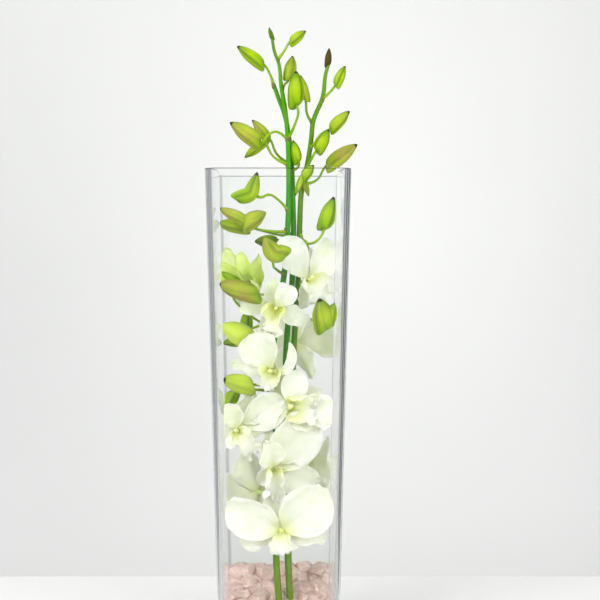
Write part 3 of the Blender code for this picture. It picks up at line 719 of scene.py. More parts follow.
# %% Places of the stems
# A stem's height and its thickness there, in mm
STEM_THICKNESS = ((12, 5.2), (150, 4.8), (240, 4.3), (350, 3.9), (410, 3.2), (462, 1.8))
STEMS = {
    "stem_left": (
        (2, -4, 10.3), (-2, -4, 62), (-3.5, -3, 113), (-5, -3, 151), (-5.5, -3, 196),
        (-3, -2, 240), (1, -2, 264), (4, -1, 284), (6, 0, 310), (7, 0, 336),
        (7, 0, 361), (6.5, 0, 379), (4.5, 0, 401), (1.5, 0, 419), (0, 0, 434),
        (-3.5, 0, 444), (-5, 0, 453),
    ),
    "stem_middle": (
        (9.5, 2, 10.3), (6.5, 2, 62), (5, 3, 112), (4, 4, 150), (4, 4, 187),
        (4.5, 4, 210), (6, 4, 240), (9, 5, 269), (10.5, 6, 310), (10, 6, 336),
        (9, 6.5, 362), (7, 6, 383), (3.5, 6, 400), (0, 5, 409), (-4, 4, 420),
    ),
    "stem_right": (
        (9.4, 10, 10.3), (6.6, 9.8, 62), (7, 9.5, 110), (9, 10, 148), (9.5, 10, 187),
        (10, 10, 210), (11.5, 10, 240), (13, 9.5, 262), (14.5, 9, 291), (15, 7, 317),
        (17.5, 5, 350), (20.5, 4, 361), (23.5, 3, 380), (25, 2, 393), (32, 1, 411),
        (34, 0, 427), (36, 0, 434),
    ),
}

# %% Places of the buds
# For each stem: the stalk's route, the bud's base and tip, its thickness, and its
# tint: -1 is dark green, 0 lime, 1 a dusty rose and 2 a dry brown. Some buds are bent
# at the base and end in a heel, some meet their stalk at a foot beside the base, some
# hide their dry tip, and some are paler. An empty route is a lobe of the bud beside it.
BUDS = {
    "stem_left": (
        ((), (-5, 0, 452), (-7, 0, 461), 3.2, -0.8),
        (((0, 0, 437), (4, -1, 444)), (8, -2, 450), (20, -4, 457), 7, 0.1),
        (((1, 0, 416), (4, 4, 420)), (7, 7, 424), (9.4, 8, 442), 9, 0.6),
        (((7, 0, 380), (12, -6, 391), (14, -10, 399)), (13, -10, 403), (11.5, -10, 428), 11.5, 0),
        (((6.5, 0, 380), (-2, -4, 385), (-8, -8, 382)), (-13, -10, 377), (-36, -12, 390), 11.5, 0.7),
        (((7, 0, 361), (-4, -2, 367)), (-12, 1, 378), (-25, 3, 366), 7, 0.2),
        (
            ((7, 0, 328), (0, -6, 335), (-7, -11, 339)), (-20, -14, 339), (-16.4, -16, 355.4),
            10.5, 0.1, dict(heel=(-29.5, -16, 334.5), foot=(-13, -14, 337)),
        ),
        (((6, 0, 312), (-9, -10, 313), (-18, -12, 315)), (-22, -13, 320), (-44, -16, 328.5), 8.5, 0.9),
        (
            ((4, -1, 281), (-2, -10, 285)), (-4, -25, 297), (-8.5, -29, 308.5),
            13, 0.8, dict(heel=(4.5, -24, 294), foot=(-4, -21, 289), dry=0),
        ),
        (
            ((-3, -2, 240), (-16, -11, 248), (-26.5, -20, 257)), (-14, -33, 268.5), (-44.4, -30, 274),
            13.5, 1.1, dict(foot=(-32, -27, 268)),
        ),
        (((-3, -2, 236), (-12, -5, 235)), (-18, -8, 234), (-43.5, -12, 243), 16, 0, dict(dry=0, pale=1)),
        (((-2.5, -2, 244), (-12, 8, 243)), (-26, 13, 240), (-23, 15, 253), 9, -0.4),
        (((-5.5, -3, 199), (-13, -8, 200)), (-19.5, -12, 201), (-41, -26, 205), 13.5, 0.2, dict(pale=0.6)),
        (((-5.5, -3, 195), (-20, 4, 195)), (-35, 6, 194), (-40, 6, 175), 10.5, 0),
        ((), (-26, -22, 274), (-43.5, -22, 283.5), 8.5, -0.3),
        ((), (-24, -2, 234), (-42, 1, 229), 8.5, -0.4),
        ((), (-26, -13, 318), (-8.5, -13, 325), 12, 0.7, dict(dry=0)),
    ),
    "stem_middle": (
        (((-4, 4, 419), (-7, 2, 428)), (-11, 0, 434), (-31, -4, 446), 9, 0.1),
        (((9, 6.5, 361), (-2, 10, 370)), (-7, 12, 381), (-21, 13, 395), 7.5, 0.6),
        (((9, 6.5, 357), (14, 2, 360)), (14.5, 0, 363), (9.5, -1, 379), 7, 0),
        (((10.5, 6, 309), (0, 9, 310), (-12, 5, 313)), (-23, 0, 316), (-46.2, -3, 317.5), 10, 0.3),
        (((10, 6, 303), (4, 14, 304)), (-1, 17, 306), (-19, 20, 304), 9.5, -0.3),
    ),
    "stem_right": (
        (((24, 2, 391), (20.5, 6, 399)), (19.5, 9, 409), (16, 9, 428), 7, 0.5),
        ((), (36, 0, 433), (36, 0, 446), 4.8, 1.8),
        (((31, 1, 409), (37, 1, 414)), (41, 1, 419), (49, 1, 433), 7, 0.1),
        (((22, 3, 373), (30, -3, 381)), (37, -4, 387), (52, -6, 399), 8.5, 0.3),
        (((19.5, 4, 358), (23.5, -3, 365)), (27, -6, 371), (37, -8, 386), 9.5, 0.1),
        (((17, 5, 347), (28, 13, 351)), (35, 17, 362), (59, 18, 377), 11, 1),
        (((17, 5, 346), (15.5, -2, 349)), (17, -5, 352), (26, -8, 360), 7.5, 0.1),
        ((), (17, -5, 354), (12, -5, 338), 4.5, 0.2),
        ((), (18, 2, 352), (21.5, 1, 338), 4.5, 0.3),
        (((15, 7, 312), (20, 0, 304), (28, -5, 306)), (33, -7, 314), (39.2, -10, 338), 11.5, 0),
        (
            ((12.5, 9, 254), (21, 1, 249), (27, -13, 247)), (35, -21, 242), (27.5, -26, 264.5),
            15, 0.4, dict(foot=(31, -20, 246)),
        ),
        ((), (36, -19, 244), (41, -24, 262.5), 12.5, 0.1, dict(dry=0)),
        ((), (19.5, 0, 306), (21, 0, 297), 3, 0.4),
    ),
}

print(len(STEMS), "stems,", sum(len(buds) for buds in BUDS.values()), "buds and lobes")

# %% [markdown]
# ## Stems and stalks
#
# A stem is a round rod that wanders a little and gets thinner upward. A curve is the
# natural tool: points with a radius each, a round bevel, and then a mesh. The thin
# flower stalks are made the same way and swell where they meet the stem and the bud.

# %% Stems and stalks


def thickness_at(height):
    """A stem's thickness in mm at a height in mm."""
    for (low, first), (high, second) in zip(STEM_THICKNESS, STEM_THICKNESS[1:]):
        if height <= high:
            return first + (second - first) * max(0.0, (height - low) / (high - low))
    return STEM_THICKNESS[-1][1]


def stem_point(stem, height):
    """The stem's centre in mm at a height in mm."""
    route = [Vector(point) for point in STEMS[stem]]
    for low, high in zip(route, route[1:]):
        if low.z <= height <= high.z:
            return low.lerp(high, (height - low.z) / (high.z - low.z))
    return route[-1]


def make_rod(name, route, radii, sides, steps, material, tint=0.0):
    """A closed round rod through points in mm, with a radius in mm at each."""
    bpy.ops.curve.primitive_bezier_curve_add()
    rod = named(name)
    rod.data.splines.clear()
    rod.data.dimensions = "3D"
    rod.data.bevel_depth = MM
    rod.data.bevel_resolution = sides
    rod.data.resolution_u = steps
    rod.data.use_fill_caps = True
    spline = rod.data.splines.new("BEZIER")
    spline.bezier_points.add(len(route) - 1)
    for knot, place, radius in zip(spline.bezier_points, route, radii):
        knot.co = Vector(place) * MM
        knot.radius = radius
        knot.handle_left_type = knot.handle_right_type = "AUTO"
    bpy.ops.object.convert(target="MESH")
    rod = bpy.context.object
    shape = edit(rod)
    bpy.ops.mesh.select_all(action="SELECT")
    bpy.ops.mesh.remove_doubles(threshold=0.00002)
    done()
    bpy.ops.object.shade_smooth()
    rod.data.materials.append(material)
    paint(rod, tint)
    return rod


def paint(thing, amount, name="tint"):
    """Writes one amount all over a piece, such as how green it is, for its finish to read."""
    values = thing.data.attributes.new(name, "FLOAT", "POINT")
    values.data.foreach_set("value", [amount] * len(thing.data.vertices))


def make_stem(stem):
    route = STEMS[stem]
    radii = [thickness_at(height) / 2 for _, _, height in route]
    olive = 0.75 if stem == "stem_right" else 0.0
    return make_rod(stem + "_rod", route, radii, 4, 6, stem_material, olive)


def make_stalk(name, route, tint=0.0):
    """A flower stalk: thicker where it leaves the stem and where it meets the bud."""
    last = len(route) - 1
    radii = [1.35, *[0.85 + 0.15 * n / last for n in range(1, last)], 1.3]
    return make_rod(name, route, radii, 2, 5, stalk_material, tint)


# %% [markdown]
# ## Buds
#
# A closed bud is a pointed oval with a chin: a hump at its foot, which later becomes
# the spur of the flower. Three faint seams show where its sepals will part. A sphere
# has the right rings for that. Each ring is scaled and moved to the bud's outline,
# the seams are pressed in, and the chin is drawn out with soft selection. One bud is
# modelled this way and copied at each bud's own size.

# %% Buds
BUD_RINGS = (
    (0.0, 0.0), (0.02, 0.38), (0.08, 0.68), (0.17, 0.92), (0.29, 1.06), (0.43, 1.1), (0.57, 1.02),
    (0.71, 0.83), (0.83, 0.57), (0.92, 0.33), (0.97, 0.17), (1.0, 0.0),
)
SEAMS = 3
HEEL_STEPS = 6


def model_bud():
    """One bud, 1 long and 1 thick, from z 0 to its tip at z 1, its chin toward -Y."""
    rings, around = len(BUD_RINGS) - 1, 18
    bpy.ops.mesh.primitive_uv_sphere_add(segments=around, ring_count=rings, radius=1)
    bud = named("bud_pattern")
    shape = edit(bud)
    ring_of = [round(math.acos(max(-1, min(1, -v.co.z))) / math.pi * rings) for v in shape.verts]
    angle_of = [math.atan2(v.co.y, v.co.x) for v in shape.verts]
    for ring, (along, girth) in enumerate(BUD_RINGS):
        was = -math.cos(math.pi * ring / rings)
        choose(shape, lambda vert: ring_of[vert.index] == ring)
        now = girth / 2 / max(0.001, math.sin(math.pi * ring / rings))
        if 0 < ring < rings:
            bpy.ops.transform.resize(value=(now, now, 1), center_override=(0, 0, 0))
        bpy.ops.transform.translate(value=(0, 0, along - was))

    def on_seam(vert):
        turns = (angle_of[vert.index] - math.pi / 2) / math.tau * SEAMS
        return abs(turns - round(turns)) < 0.02 and ring_of[vert.index] > 2

    choose(shape, on_seam)
    seam = [vert.index for vert in shape.verts if vert.select]
    bpy.ops.transform.resize(value=(0.9, 0.9, 1), center_override=(0, 0, 0))
    choose(shape, lambda vert: ring_of[vert.index] in (1, 2, 3) and vert.co.y < -0.2)
    soft = dict(use_proportional_edit=True, proportional_edit_falloff="SMOOTH")
    bpy.ops.transform.translate(value=(0, -0.17, -0.2), proportional_size=0.28, **soft)
    choose(shape, lambda vert: ring_of[vert.index] >= rings - 2)
    bpy.ops.transform.translate(value=(0, 0.1, 0), proportional_size=0.7, **soft)
    done()
    # The seams are marked for the finish, which paints them darker as painted shade.
    pressed = bud.data.attributes.new("seam", "FLOAT", "POINT")
    for index in seam:
        pressed.data[index].value = 1
    smooth_once(bud)
    apply_all(bud)
    bpy.ops.object.shade_smooth()
    bud.data.materials.append(bud_material)
    return bud


bud_pattern = model_bud()
print("bud pattern", count(bud_pattern), "triangles")


def lay_along(base, tip, down=Vector((0, 0, -1))):
    """A frame at base with +Z toward the tip and -Y as near to down as it can be."""
    z = (tip - base).normalized()
    x = z.cross(down.normalized())
    x = x.normalized() if x.length > 0.05 else Vector((1, 0, 0))
    return axes_at(x, z.cross(x), z, base)


def bend_heel(bud, reach, angle):
    """Bends what lies below the base toward -Y, a little at each of a few levels."""
    shape = edit(bud)
    heights = [vert.co.z for vert in shape.verts]
    start, step, lean = 0.3 * reach, reach * 0.6 / HEEL_STEPS, 0
    pivot = Vector((0, 0, start))
    for level in range(HEEL_STEPS):
        choose(shape, lambda vert: heights[vert.index] < start - level * step)
        turn(-angle / HEEL_STEPS, "X", pivot)
        lean += angle / HEEL_STEPS
        pivot -= Vector((0, math.sin(lean), math.cos(lean))) * step
    done()


def make_bud(name, base, tip, thickness, tint, down, heel=None, dry=1, pale=0, **_):
    """A bud from base to tip. With a heel, the bud goes on past its base and is bent
    there, so that it ends at the heel."""
    base, tip, reach = base * MM, tip * MM, 0
    if heel:
        down = Vector(heel) * MM - base
        reach = down.length
    size = Matrix.Diagonal((thickness * MM, thickness * MM, (tip - base).length + reach, 1))
    bud = copy_of(bud_pattern, Matrix.Translation((0, 0, -reach)) @ size)
    bud.name = name
    if heel:
        bend_heel(bud, reach, (base - tip).angle(down))
    bud.data.transform(lay_along(base, tip, down))
    for value, amount in (("tint", tint), ("dry", dry), ("pale", pale)):
        paint(bud, amount, value)
    return bud


# %% [markdown]
# ## Petals, sepals and lips
#
# Every floral part starts as a flat grid, like a piece of dough. Its columns are
# turned up one after another to cup it, its rows are scaled and moved to the outline
# of the part, and then the rows are turned one after another to curl and twist it.
# A soft noise ruffles the margins, a subdivision smooths the sheet, and Solidify
# gives it the thickness of a petal. The grid's own UV map stays on it, so veins run
# along it however it is bent.

# %% Outlines of the floral parts


def outline(shares, widths, depths=(1,) * 13):
    """Row by row from the root: share of the length, half-width and depth of the cup."""
    return tuple(zip(shares, widths, depths))


ROUND_ROWS = (0, 0.06, 0.13, 0.22, 0.32, 0.43, 0.55, 0.66, 0.77, 0.86, 0.93, 0.98, 1)
ROUND = outline(ROUND_ROWS, (0.12, 0.17, 0.3, 0.5, 0.71, 0.87, 0.97, 1, 0.95, 0.82, 0.62, 0.36, 0.16))
BROAD = outline(ROUND_ROWS, (0.3, 0.46, 0.64, 0.8, 0.91, 0.98, 1, 0.97, 0.88, 0.74, 0.55, 0.32, 0.14))
OVAL_ROWS = (0, 0.06, 0.14, 0.23, 0.33, 0.44, 0.55, 0.66, 0.76, 0.85, 0.92, 0.97, 1)
OVAL = outline(OVAL_ROWS, (0.16, 0.24, 0.42, 0.63, 0.82, 0.95, 1, 0.97, 0.86, 0.68, 0.46, 0.25, 0.08))
NARROW = outline(OVAL_ROWS, (0.3, 0.42, 0.62, 0.81, 0.95, 1, 0.96, 0.85, 0.68, 0.48, 0.3, 0.16, 0.05))
TRUMPET = outline(
    (0, 0.07, 0.15, 0.24, 0.34, 0.44, 0.53, 0.62, 0.71, 0.8, 0.89, 0.96, 1),
    (0.3, 0.46, 0.62, 0.76, 0.84, 0.82, 0.72, 0.7, 0.86, 1, 0.9, 0.58, 0.2),
    (0.8, 1, 1, 1, 0.95, 0.85, 0.65, 0.45, 0.3, 0.22, 0.18, 0.12, 0.08),
)
FAN = outline(
    (0, 0.09, 0.18, 0.27, 0.37, 0.47, 0.57, 0.67, 0.77, 0.86, 0.93, 0.98, 1),
    (0.2, 0.36, 0.48, 0.58, 0.68, 0.78, 0.88, 0.96, 1, 0.94, 0.78, 0.5, 0.2),
    (1, 1, 1, 1, 0.9, 0.8, 0.7, 0.6, 0.5, 0.4, 0.3, 0.2, 0.1),
)
# Length, width, how far ahead of the flower's centre a part is rooted and how high it
# ruffles are in mm. In degrees: how much it is cupped, folded along its midrib, and
# curled over the half near its root and over the half near its tip.
SEPAL = dict(form=NARROW, length=31, width=17, ahead=-1.2, cup=24, fold=12, curl=(0, -18), ruffle=1.2)
SIDE = dict(form=ROUND, length=36, width=35, ahead=0.9, cup=18, fold=8, curl=(12, -30), ruffle=1.2)
PARTS = {
    "dorsal": dict(SEPAL, cup=28, fold=14, curl=(4, -16), ruffle=1.0),
    "low_left": SEPAL, "low_right": SEPAL, "left": SIDE, "right": SIDE,
    "lip": dict(form=TRUMPET, length=23, width=19, ahead=0, cup=92, fold=8, curl=(-10, -50), ruffle=2.6),
}
# Angle from the flower's top, sweep toward its face, and share of the length and width
USUAL_PLACES = dict(
    dorsal=(0, -8, 1, 1), left=(-76, 0, 1, 1), right=(76, 0, 1, 1),
    low_left=(-142, -8, 1, 1), low_right=(142, -8, 1, 1), lip=(180, 46, 1, 1),
)
print("an open flower has", len(PARTS), "floral parts, each outline", len(ROUND), "rows")

# %% Shaping a flat sheet
COLUMNS = 10


def roll_up(shape, cup, fold):
    """Turns the columns up on both sides of the midrib, one after another."""
    middle = COLUMNS // 2
    for side in (-1, 1):
        x, z, lean = 0.0, 0.0, 0.0
        for column in range(1, middle + 1):
            step = math.radians(cup / middle + (fold if column == 1 else 0))
            choose(shape, lambda vert: side * (vert.index % (COLUMNS + 1) - middle) >= column)
            turn(-side * step, "Y", (x, 0, z))
            lean += step
            x += side * math.cos(lean) / COLUMNS
            z += math.sin(lean) / COLUMNS


def follow_outline(shape, form, length, width):
    """Scales each row to the outline and moves it to its place along the part."""
    spread = max(abs(vert.co.x) for vert in shape.verts)
    for row, (along, wide, deep) in enumerate(form):
        was = row / (len(form) - 1) - 0.5
        half = width / 2 * wide / spread
        choose(shape, lambda vert: vert.index // (COLUMNS + 1) == row)
        bpy.ops.transform.resize(value=(half, 1, half * deep), center_override=(0, was, 0))
        bpy.ops.transform.translate(value=(0, along * length - was, 0))


def bend_rows(shape, form, axis, first, second):
    """Turns the rows one after another: by "first" degrees over the half near the
    root and by "second" over the half near the tip."""
    shape.verts.ensure_lookup_table()
    for row in range(1, len(form)):
        low, high = form[row - 1][0], form[row][0]
        near = max(0, min(high, 0.5) - low) * 2
        far = max(0, high - max(low, 0.5)) * 2
        pivot = shape.verts[(row - 1) * (COLUMNS + 1) + COLUMNS // 2].co.copy()
        choose(shape, lambda vert: vert.index // (COLUMNS + 1) >= row)
        turn(math.radians(first * near + second * far), axis, pivot)


def mark_margin(petal, form):
    """Two vertex groups: the margin, which ruffles, and the body, which is thicker."""
    margin = petal.vertex_groups.new(name="margin")
    body = petal.vertex_groups.new(name="body")
    for index in range(len(petal.data.vertices)):
        row, column = divmod(index, COLUMNS + 1)
        edge = abs(column - COLUMNS // 2) / (COLUMNS // 2)
        along = form[row][0]
        rim = max(edge**2 * min(1, 2.5 * along), max(0, along - 0.8) * 5)
        margin.add([index], rim, "REPLACE")
        body.add([index], 1 - rim, "REPLACE")


# %% A petal
# The margin is this share of the petal's thickness
PETAL_THICKNESS, MARGIN_SHARE = 0.7 * MM, 0.4
RUFFLE_HEIGHT, BILLOW_HEIGHT = 5, 3.2


def soft_noise(name, size, depth):
    noise = bpy.data.textures.new(name, "CLOUDS")
    noise.noise_scale = size
    noise.noise_depth = depth
    return noise


# Small waves along the margin, and broad ones all over
WAVES = (
    (soft_noise("ruffles", 5.5 * MM, 1), RUFFLE_HEIGHT, "margin"),
    (soft_noise("billows", 20 * MM, 0), BILLOW_HEIGHT, ""),
)
print(f"petals {PETAL_THICKNESS / MM:.2f} mm thick, margins {PETAL_THICKNESS * MARGIN_SHARE / MM:.2f} mm")


def make_petal(name, place, look, material):
    """A floral part in its place, from its look: the numbers explained above."""
    form = look["form"]
    bpy.ops.mesh.primitive_grid_add(x_subdivisions=COLUMNS, y_subdivisions=len(form) - 1, size=1)
    petal = named(name)
    shape = edit(petal)
    roll_up(shape, look["cup"], look["fold"])
    follow_outline(shape, form, look["length"] * MM, look["width"] * MM)
    if look.get("sway"):
        bend_rows(shape, form, "Z", look["sway"] / 2, look["sway"] / 2)
    bend_rows(shape, form, "X", *look["curl"])
    done()
    mark_margin(petal, form)
    petal.matrix_world = place
    smooth_once(petal)
    for texture, height, group in WAVES if look["ruffle"] else ():
        wave = petal.modifiers.new(texture.name, "DISPLACE")
        wave.texture = texture
        wave.texture_coords = "GLOBAL"
        wave.direction = "NORMAL"
        wave.vertex_group = group
        wave.strength = height * look["ruffle"] * MM
    smooth_once(petal)
    skin = petal.modifiers.new("skin", "SOLIDIFY")
    skin.thickness = PETAL_THICKNESS
    skin.offset = 0
    skin.vertex_group = "body"
    skin.thickness_vertex_group = MARGIN_SHARE
    apply_all(petal)
    bpy.ops.object.shade_smooth()
    petal.data.materials.append(material)
    paint(petal, look["tint"])
    return petal


# %% [markdown]
# ## Whole flowers
#
# Three sepals stand behind, two broad petals in front, and the lip below curls up
# round the column, the short rod that carries the pollen. Each part is put at its
# own angle round the flower's axis, and the flower is turned to where it faces. The
# vase is narrow: petals that reach its wall are pressed against it.

# %% Places of the flowers
# "at" is the flower's centre in mm; "turn" is where it faces, 0 to the front and 90
# to the right; "nod" lifts its face; "stalk" is its stem and the height where it
# leaves it. A floral part that isn't in its usual place has one of its own, and then
# what sets its form apart. "tint" is 0 for white and 1 for green, or yellow on a lip.
# On petals, the green of "tint" is partly their own and partly painted shade on flowers further back and on
# petals in the shade of others; a tint below 0 whitens a petal that catches the light.
BLOOMS = {
    "bloom_01": dict(
        at=(2, -24, 98), turn=0, nod=-6, stalk=("stem_left", 67), tint=0.0,
        dorsal=(-21, -10, 0.9, 0.9), left=(-66, 0, 1.22, 0.84, dict(form=BROAD, cup=26, fold=12, ruffle=1.8)),
        right=(49, -2, 1.25, 1.07, dict(form=BROAD, cup=26, fold=12, ruffle=1.8)),
        low_left=(-112, 5, 1.0, 0.95, dict(form=ROUND, ruffle=1.6)),
        low_right=(120, 6, 1.2, 0.85, dict(sway=40, ruffle=1.8)),
        lip=(180, 30, 0.72, 1.15, dict(form=FAN, cup=56, curl=(8, -30), tint=0.55)),
    ),
    "bloom_02": dict(
        at=(-4, -20, 141), turn=14, nod=-4, stalk=("stem_middle", 132), tint=0.05, column=(85, 30),
        dorsal=(-4, -14, 0.9, 1), left=(-18, 24, 0.78, 0.56, dict(cup=44)),
        right=(33, 2, 1.3, 1.08, dict(form=BROAD)), low_left=(-150, -24, 0.6, 0.7),
        low_right=(113, 10, 1.15, 1.45, dict(ruffle=1.6, form=BROAD, tint=-0.3)),
        lip=(180, 34, 0.95, 0.85, dict(tint=-0.2)),
    ),
    "bloom_03": dict(
        at=(-30, -12, 168), turn=-6, nod=-4, stalk=("stem_left", 162), tint=0.1,
        dorsal=(24, -6, 0.95, 1.1), left=(-20, 10, 0.58, 0.6, dict(tint=0.5)), right=(56, 0, 1.14, 0.76),
        low_left=(-120, 12, 0.56, 1.2, dict(ruffle=1.8)), low_right=(88, 12, 0.75, 0.7),
        lip=(145, 36, 0.95, 0.95, dict(tint=0.3)),
    ),
    "bloom_04": dict(
        at=(8, -21, 185), turn=4, nod=10, stalk=("stem_middle", 181), tint=0.1,
        dorsal=(60, -14, 0.9, 1, dict(tint=0.3)),
        left=(12, 4, 0.76, 0.58, dict(form=OVAL, cup=10, curl=(0, -6), ruffle=0.4, tint=-0.2)),
        right=(98, -6, 0.95, 0.72, dict(ruffle=2.2)), low_left=(-165, -12, 0.65, 0.9),
        low_right=(130, 8, 0.8, 1.1, dict(ruffle=1.8)), lip=(96, 34, 0.85, 1.05, dict(tint=0.6)),
    ),
    "bloom_05": dict(
        at=(-5, -15, 212), turn=-10, nod=-6, stalk=("stem_left", 216), tint=0.15,
        dorsal=(-14, -12, 0.8, 0.8), left=(-24, 8, 0.84, 0.86),
        right=(112, 12, 0.95, 0.24, dict(form=OVAL, sway=150, cup=50, curl=(0, 0), ruffle=0.3, tint=-0.2)),
        low_left=(-82, 4, 1.0, 0.95, dict(ruffle=2.0)), low_right=(158, 4, 0.8, 0.9, dict(tint=0.8)),
        lip=(200, 40, 0.6, 0.8, dict(tint=0.6)),
    ),
    "bloom_06": dict(
        at=(-2, -21, 258), turn=0, nod=-10, size=0.9, stalk=("stem_left", 250), tint=0.25,
        dorsal=(-6, -6, 0.76, 1, dict(tint=0.5)), left=(-82, -4, 0.84, 0.5, dict(tint=0.6)),
        right=(34, 6, 0.62, 0.55, dict(tint=-0.2)), low_left=(-152, -8, 0.85, 0.7),
        low_right=(114, 2, 0.98, 1.0, dict(tint=0.1)), lip=(196, 44, 0.95, 1.05, dict(tint=0.8)),
    ),
    "bloom_07": dict(
        at=(21, -3, 277), turn=24, nod=8, stalk=("stem_right", 273), tint=0.1,
        dorsal=(8, -8, 0.85, 0.8), left=(-38, 6, 1.02, 0.7, dict(tint=-0.2)),
        right=(42, -4, 0.98, 0.78, dict(tint=0.25)), low_left=(-172, -12, 0.7, 0.8),
        low_right=(108, -4, 0.86, 1.0, dict(ruffle=1.8)), lip=(160, 34, 0.8, 0.95),
    ),
    "bloom_08": dict(
        at=(-17, 10, 117), turn=-140, nod=-4, stalk=("stem_left", 121), tint=0.1,
        dorsal=(15, -2, 1.15, 1.6), left=(-84, 0, 0.9, 0.9),
        right=(88, 0, 0.86, 0.9, dict(tint=0.0, ruffle=2.4)),
    ),
    "bloom_09": dict(
        at=(-17, -15, 268), turn=-14, nod=8, stalk=("stem_left", 266), tint=0.6, young=True,
        dorsal=(-36, 12, 1.25, 0.85, dict(form=OVAL, cup=50, tint=0.1)),
        left=(-56, 28, 0.98, 0.5, dict(form=OVAL, cup=50)),
        right=(-14, 30, 0.9, 0.36, dict(form=OVAL, cup=60)),
        low_left=(-68, 8, 1.0, 0.8), low_right=(4, 10, 0.9, 0.7), lip=(-34, 44, 0.9, 0.7, dict(tint=0)),
    ),
    "bloom_10": dict(
        at=(11, 22, 228), turn=150, nod=5, stalk=("stem_right", 222), tint=0.6,
        dorsal=(0, -8, 1.0, 1),
    ),
    "bloom_11": dict(
        at=(22.4, 9, 140), turn=112, nod=0, stalk=("stem_right", 138), tint=0.4,
        dorsal=(0, -8, 1.0, 1), left=(-76, 0, 0.92, 0.95), right=(76, 0, 0.88, 0.95),
    ),
}
own_places = sum(len(set(look) & set(PARTS)) for look in BLOOMS.values())
print(len(BLOOMS), "open flowers,", own_places, "floral parts with a place of their own")

# %% Columns
# The column's length, width and depth, and its rings: share of the length and girth
COLUMN_SIZE = (9 * MM, 1.9 * MM, 1.6 * MM)
COLUMN_RINGS = (
    (0, 0.5), (0.12, 0.85), (0.3, 1), (0.5, 0.85), (0.66, 0.8), (0.8, 0.95), (0.92, 0.8), (1, 0.35),
)


def model_column():
    """The column along +Z, from its foot to its rounded cap, which leans to +Y."""
    rings = len(COLUMN_RINGS) - 1
    length, width, depth = COLUMN_SIZE
    bpy.ops.mesh.primitive_cylinder_add(vertices=12, radius=1, depth=1, end_fill_type="NGON")
    column = named("column_pattern")
    shape = edit(column)
    bpy.ops.mesh.select_mode(type="FACE")
    for face in shape.faces:
        face.select_set(face.normal.z > 0.9)
    for _ in range(rings - 1):
        bpy.ops.mesh.extrude_region_move(TRANSFORM_OT_translate={"value": (0, 0, 1)})
    bpy.ops.mesh.select_mode(type="VERT")
    shape = bmesh.from_edit_mesh(column.data)
    ring_of = [round(vert.co.z + 0.5) for vert in shape.verts]
    for ring, (along, girth) in enumerate(COLUMN_RINGS):
        choose(shape, lambda vert: ring_of[vert.index] == ring)
        bpy.ops.transform.resize(value=(girth * width, girth * depth, 1))
        bpy.ops.transform.translate(value=(0, along**2 * depth, along * length - (ring - 0.5)))
    done()
    smooth_once(column)
    apply_all(column)
    bpy.ops.object.shade_smooth()
    column.data.materials.append(column_material)
    return column


column_pattern = model_column()
print("column pattern", count(column_pattern), "triangles")

# %% Flowers
# The neck's points: ahead of the flower's centre, above it, and its radius, in mm
NECK = ((-9.5, 0, 1.1), (-6, -0.3, 1.3), (-3, -0.4, 2.0), (0, 0, 2.6))
# A petal gives way this close to the glass, and stays this far from it
PRESS, GLASS_GAP = 4.5 * MM, 0.6 * MM


def facing(look):
    """A flower's own axes: +X its right, +Y its top, +Z the way it faces."""
    heading, nod = math.radians(look["turn"]), math.radians(look["nod"])
    face = Vector((math.sin(heading) * math.cos(nod), -math.cos(heading) * math.cos(nod), math.sin(nod)))
    top = (Vector((0, 0, 1)) - face * face.z).normalized()
    axes = axes_at(top.cross(face), top, face, Vector(look["at"]) * MM)
    return axes @ Matrix.Scale(look.get("size", 1), 4)


def part_place(angle, sweep, ahead):
    """Where a floral part is rooted and how it leans, in the flower's own axes."""
    angle, sweep = math.radians(angle), math.radians(sweep)
    out = Vector((math.sin(angle), math.cos(angle), 0))
    along = out * math.cos(sweep) + Vector((0, 0, math.sin(sweep)))
    face = Vector((0, 0, math.cos(sweep))) - out * math.sin(sweep)
    return axes_at(along.cross(face), along, face, (along + Vector((0, 0, ahead))) * MM)


def make_neck(name, place, size):
    """The short green neck that joins the flower to its stalk."""
    route = [place @ Vector((0, rise * MM, ahead * MM)) / MM for ahead, rise, _ in NECK]
    radii = [radius * size for _, _, radius in NECK]
    return make_rod(name, route, radii, 2, 4, stalk_material, 0.75)


def press_on_glass(bloom):
    """Petals that come near the glass give way to it, the further out the more, so
    that they lie along the wall and never go through it."""
    for vert in bloom.data.vertices:
        start = inner_half(vert.co.z) - PRESS
        for axis in (0, 1):
            past = abs(vert.co[axis]) - start
            if past > 0:
                held = (PRESS - GLASS_GAP) * (1 - math.exp(-past / PRESS))
                vert.co[axis] = math.copysign(start + held, vert.co[axis])


def make_bloom(name, look):
    place = facing(look)
    pieces = [make_neck(name + "_neck", place, look.get("size", 1))]
    for part, usual in PARTS.items():
        angle, sweep, longer, wider, *special = look.get(part, USUAL_PLACES[part])
        own = {"tint": look["tint"], **usual, **(special[0] if special else {})}
        own["length"] *= longer
        own["width"] *= wider
        material = young_material if look.get("young") else lip_material if part == "lip" else petal_material
        where = place @ part_place(angle, sweep, own["ahead"])
        pieces.append(make_petal(f"{name}_{part}", where, own, material))
    lean = part_place(*look.get("column", (0, 90)), 0) @ Matrix.Rotation(math.radians(-90), 4, "X")
    column = copy_of(column_pattern, place @ lean)
    paint(column, 0)
    bloom = fuse(name + "_flower", [*pieces, column])
    press_on_glass(bloom)
    stand_for(bloom, name)


for name, look in BLOOMS.items():
    make_bloom(name, look)

# %% [markdown]
# ## Putting each stem together
#
# Each stem carries its own buds, the stalks of its flowers, and a dry little scale
# under the stalk of every bud. A scale is a small petal, cupped hard and pressed to the stem.

# %% Scales
SCALE_LOOK = dict(form=NARROW, length=5, width=3.4, cup=75, fold=0, curl=(0, 8), ruffle=0, tint=0)


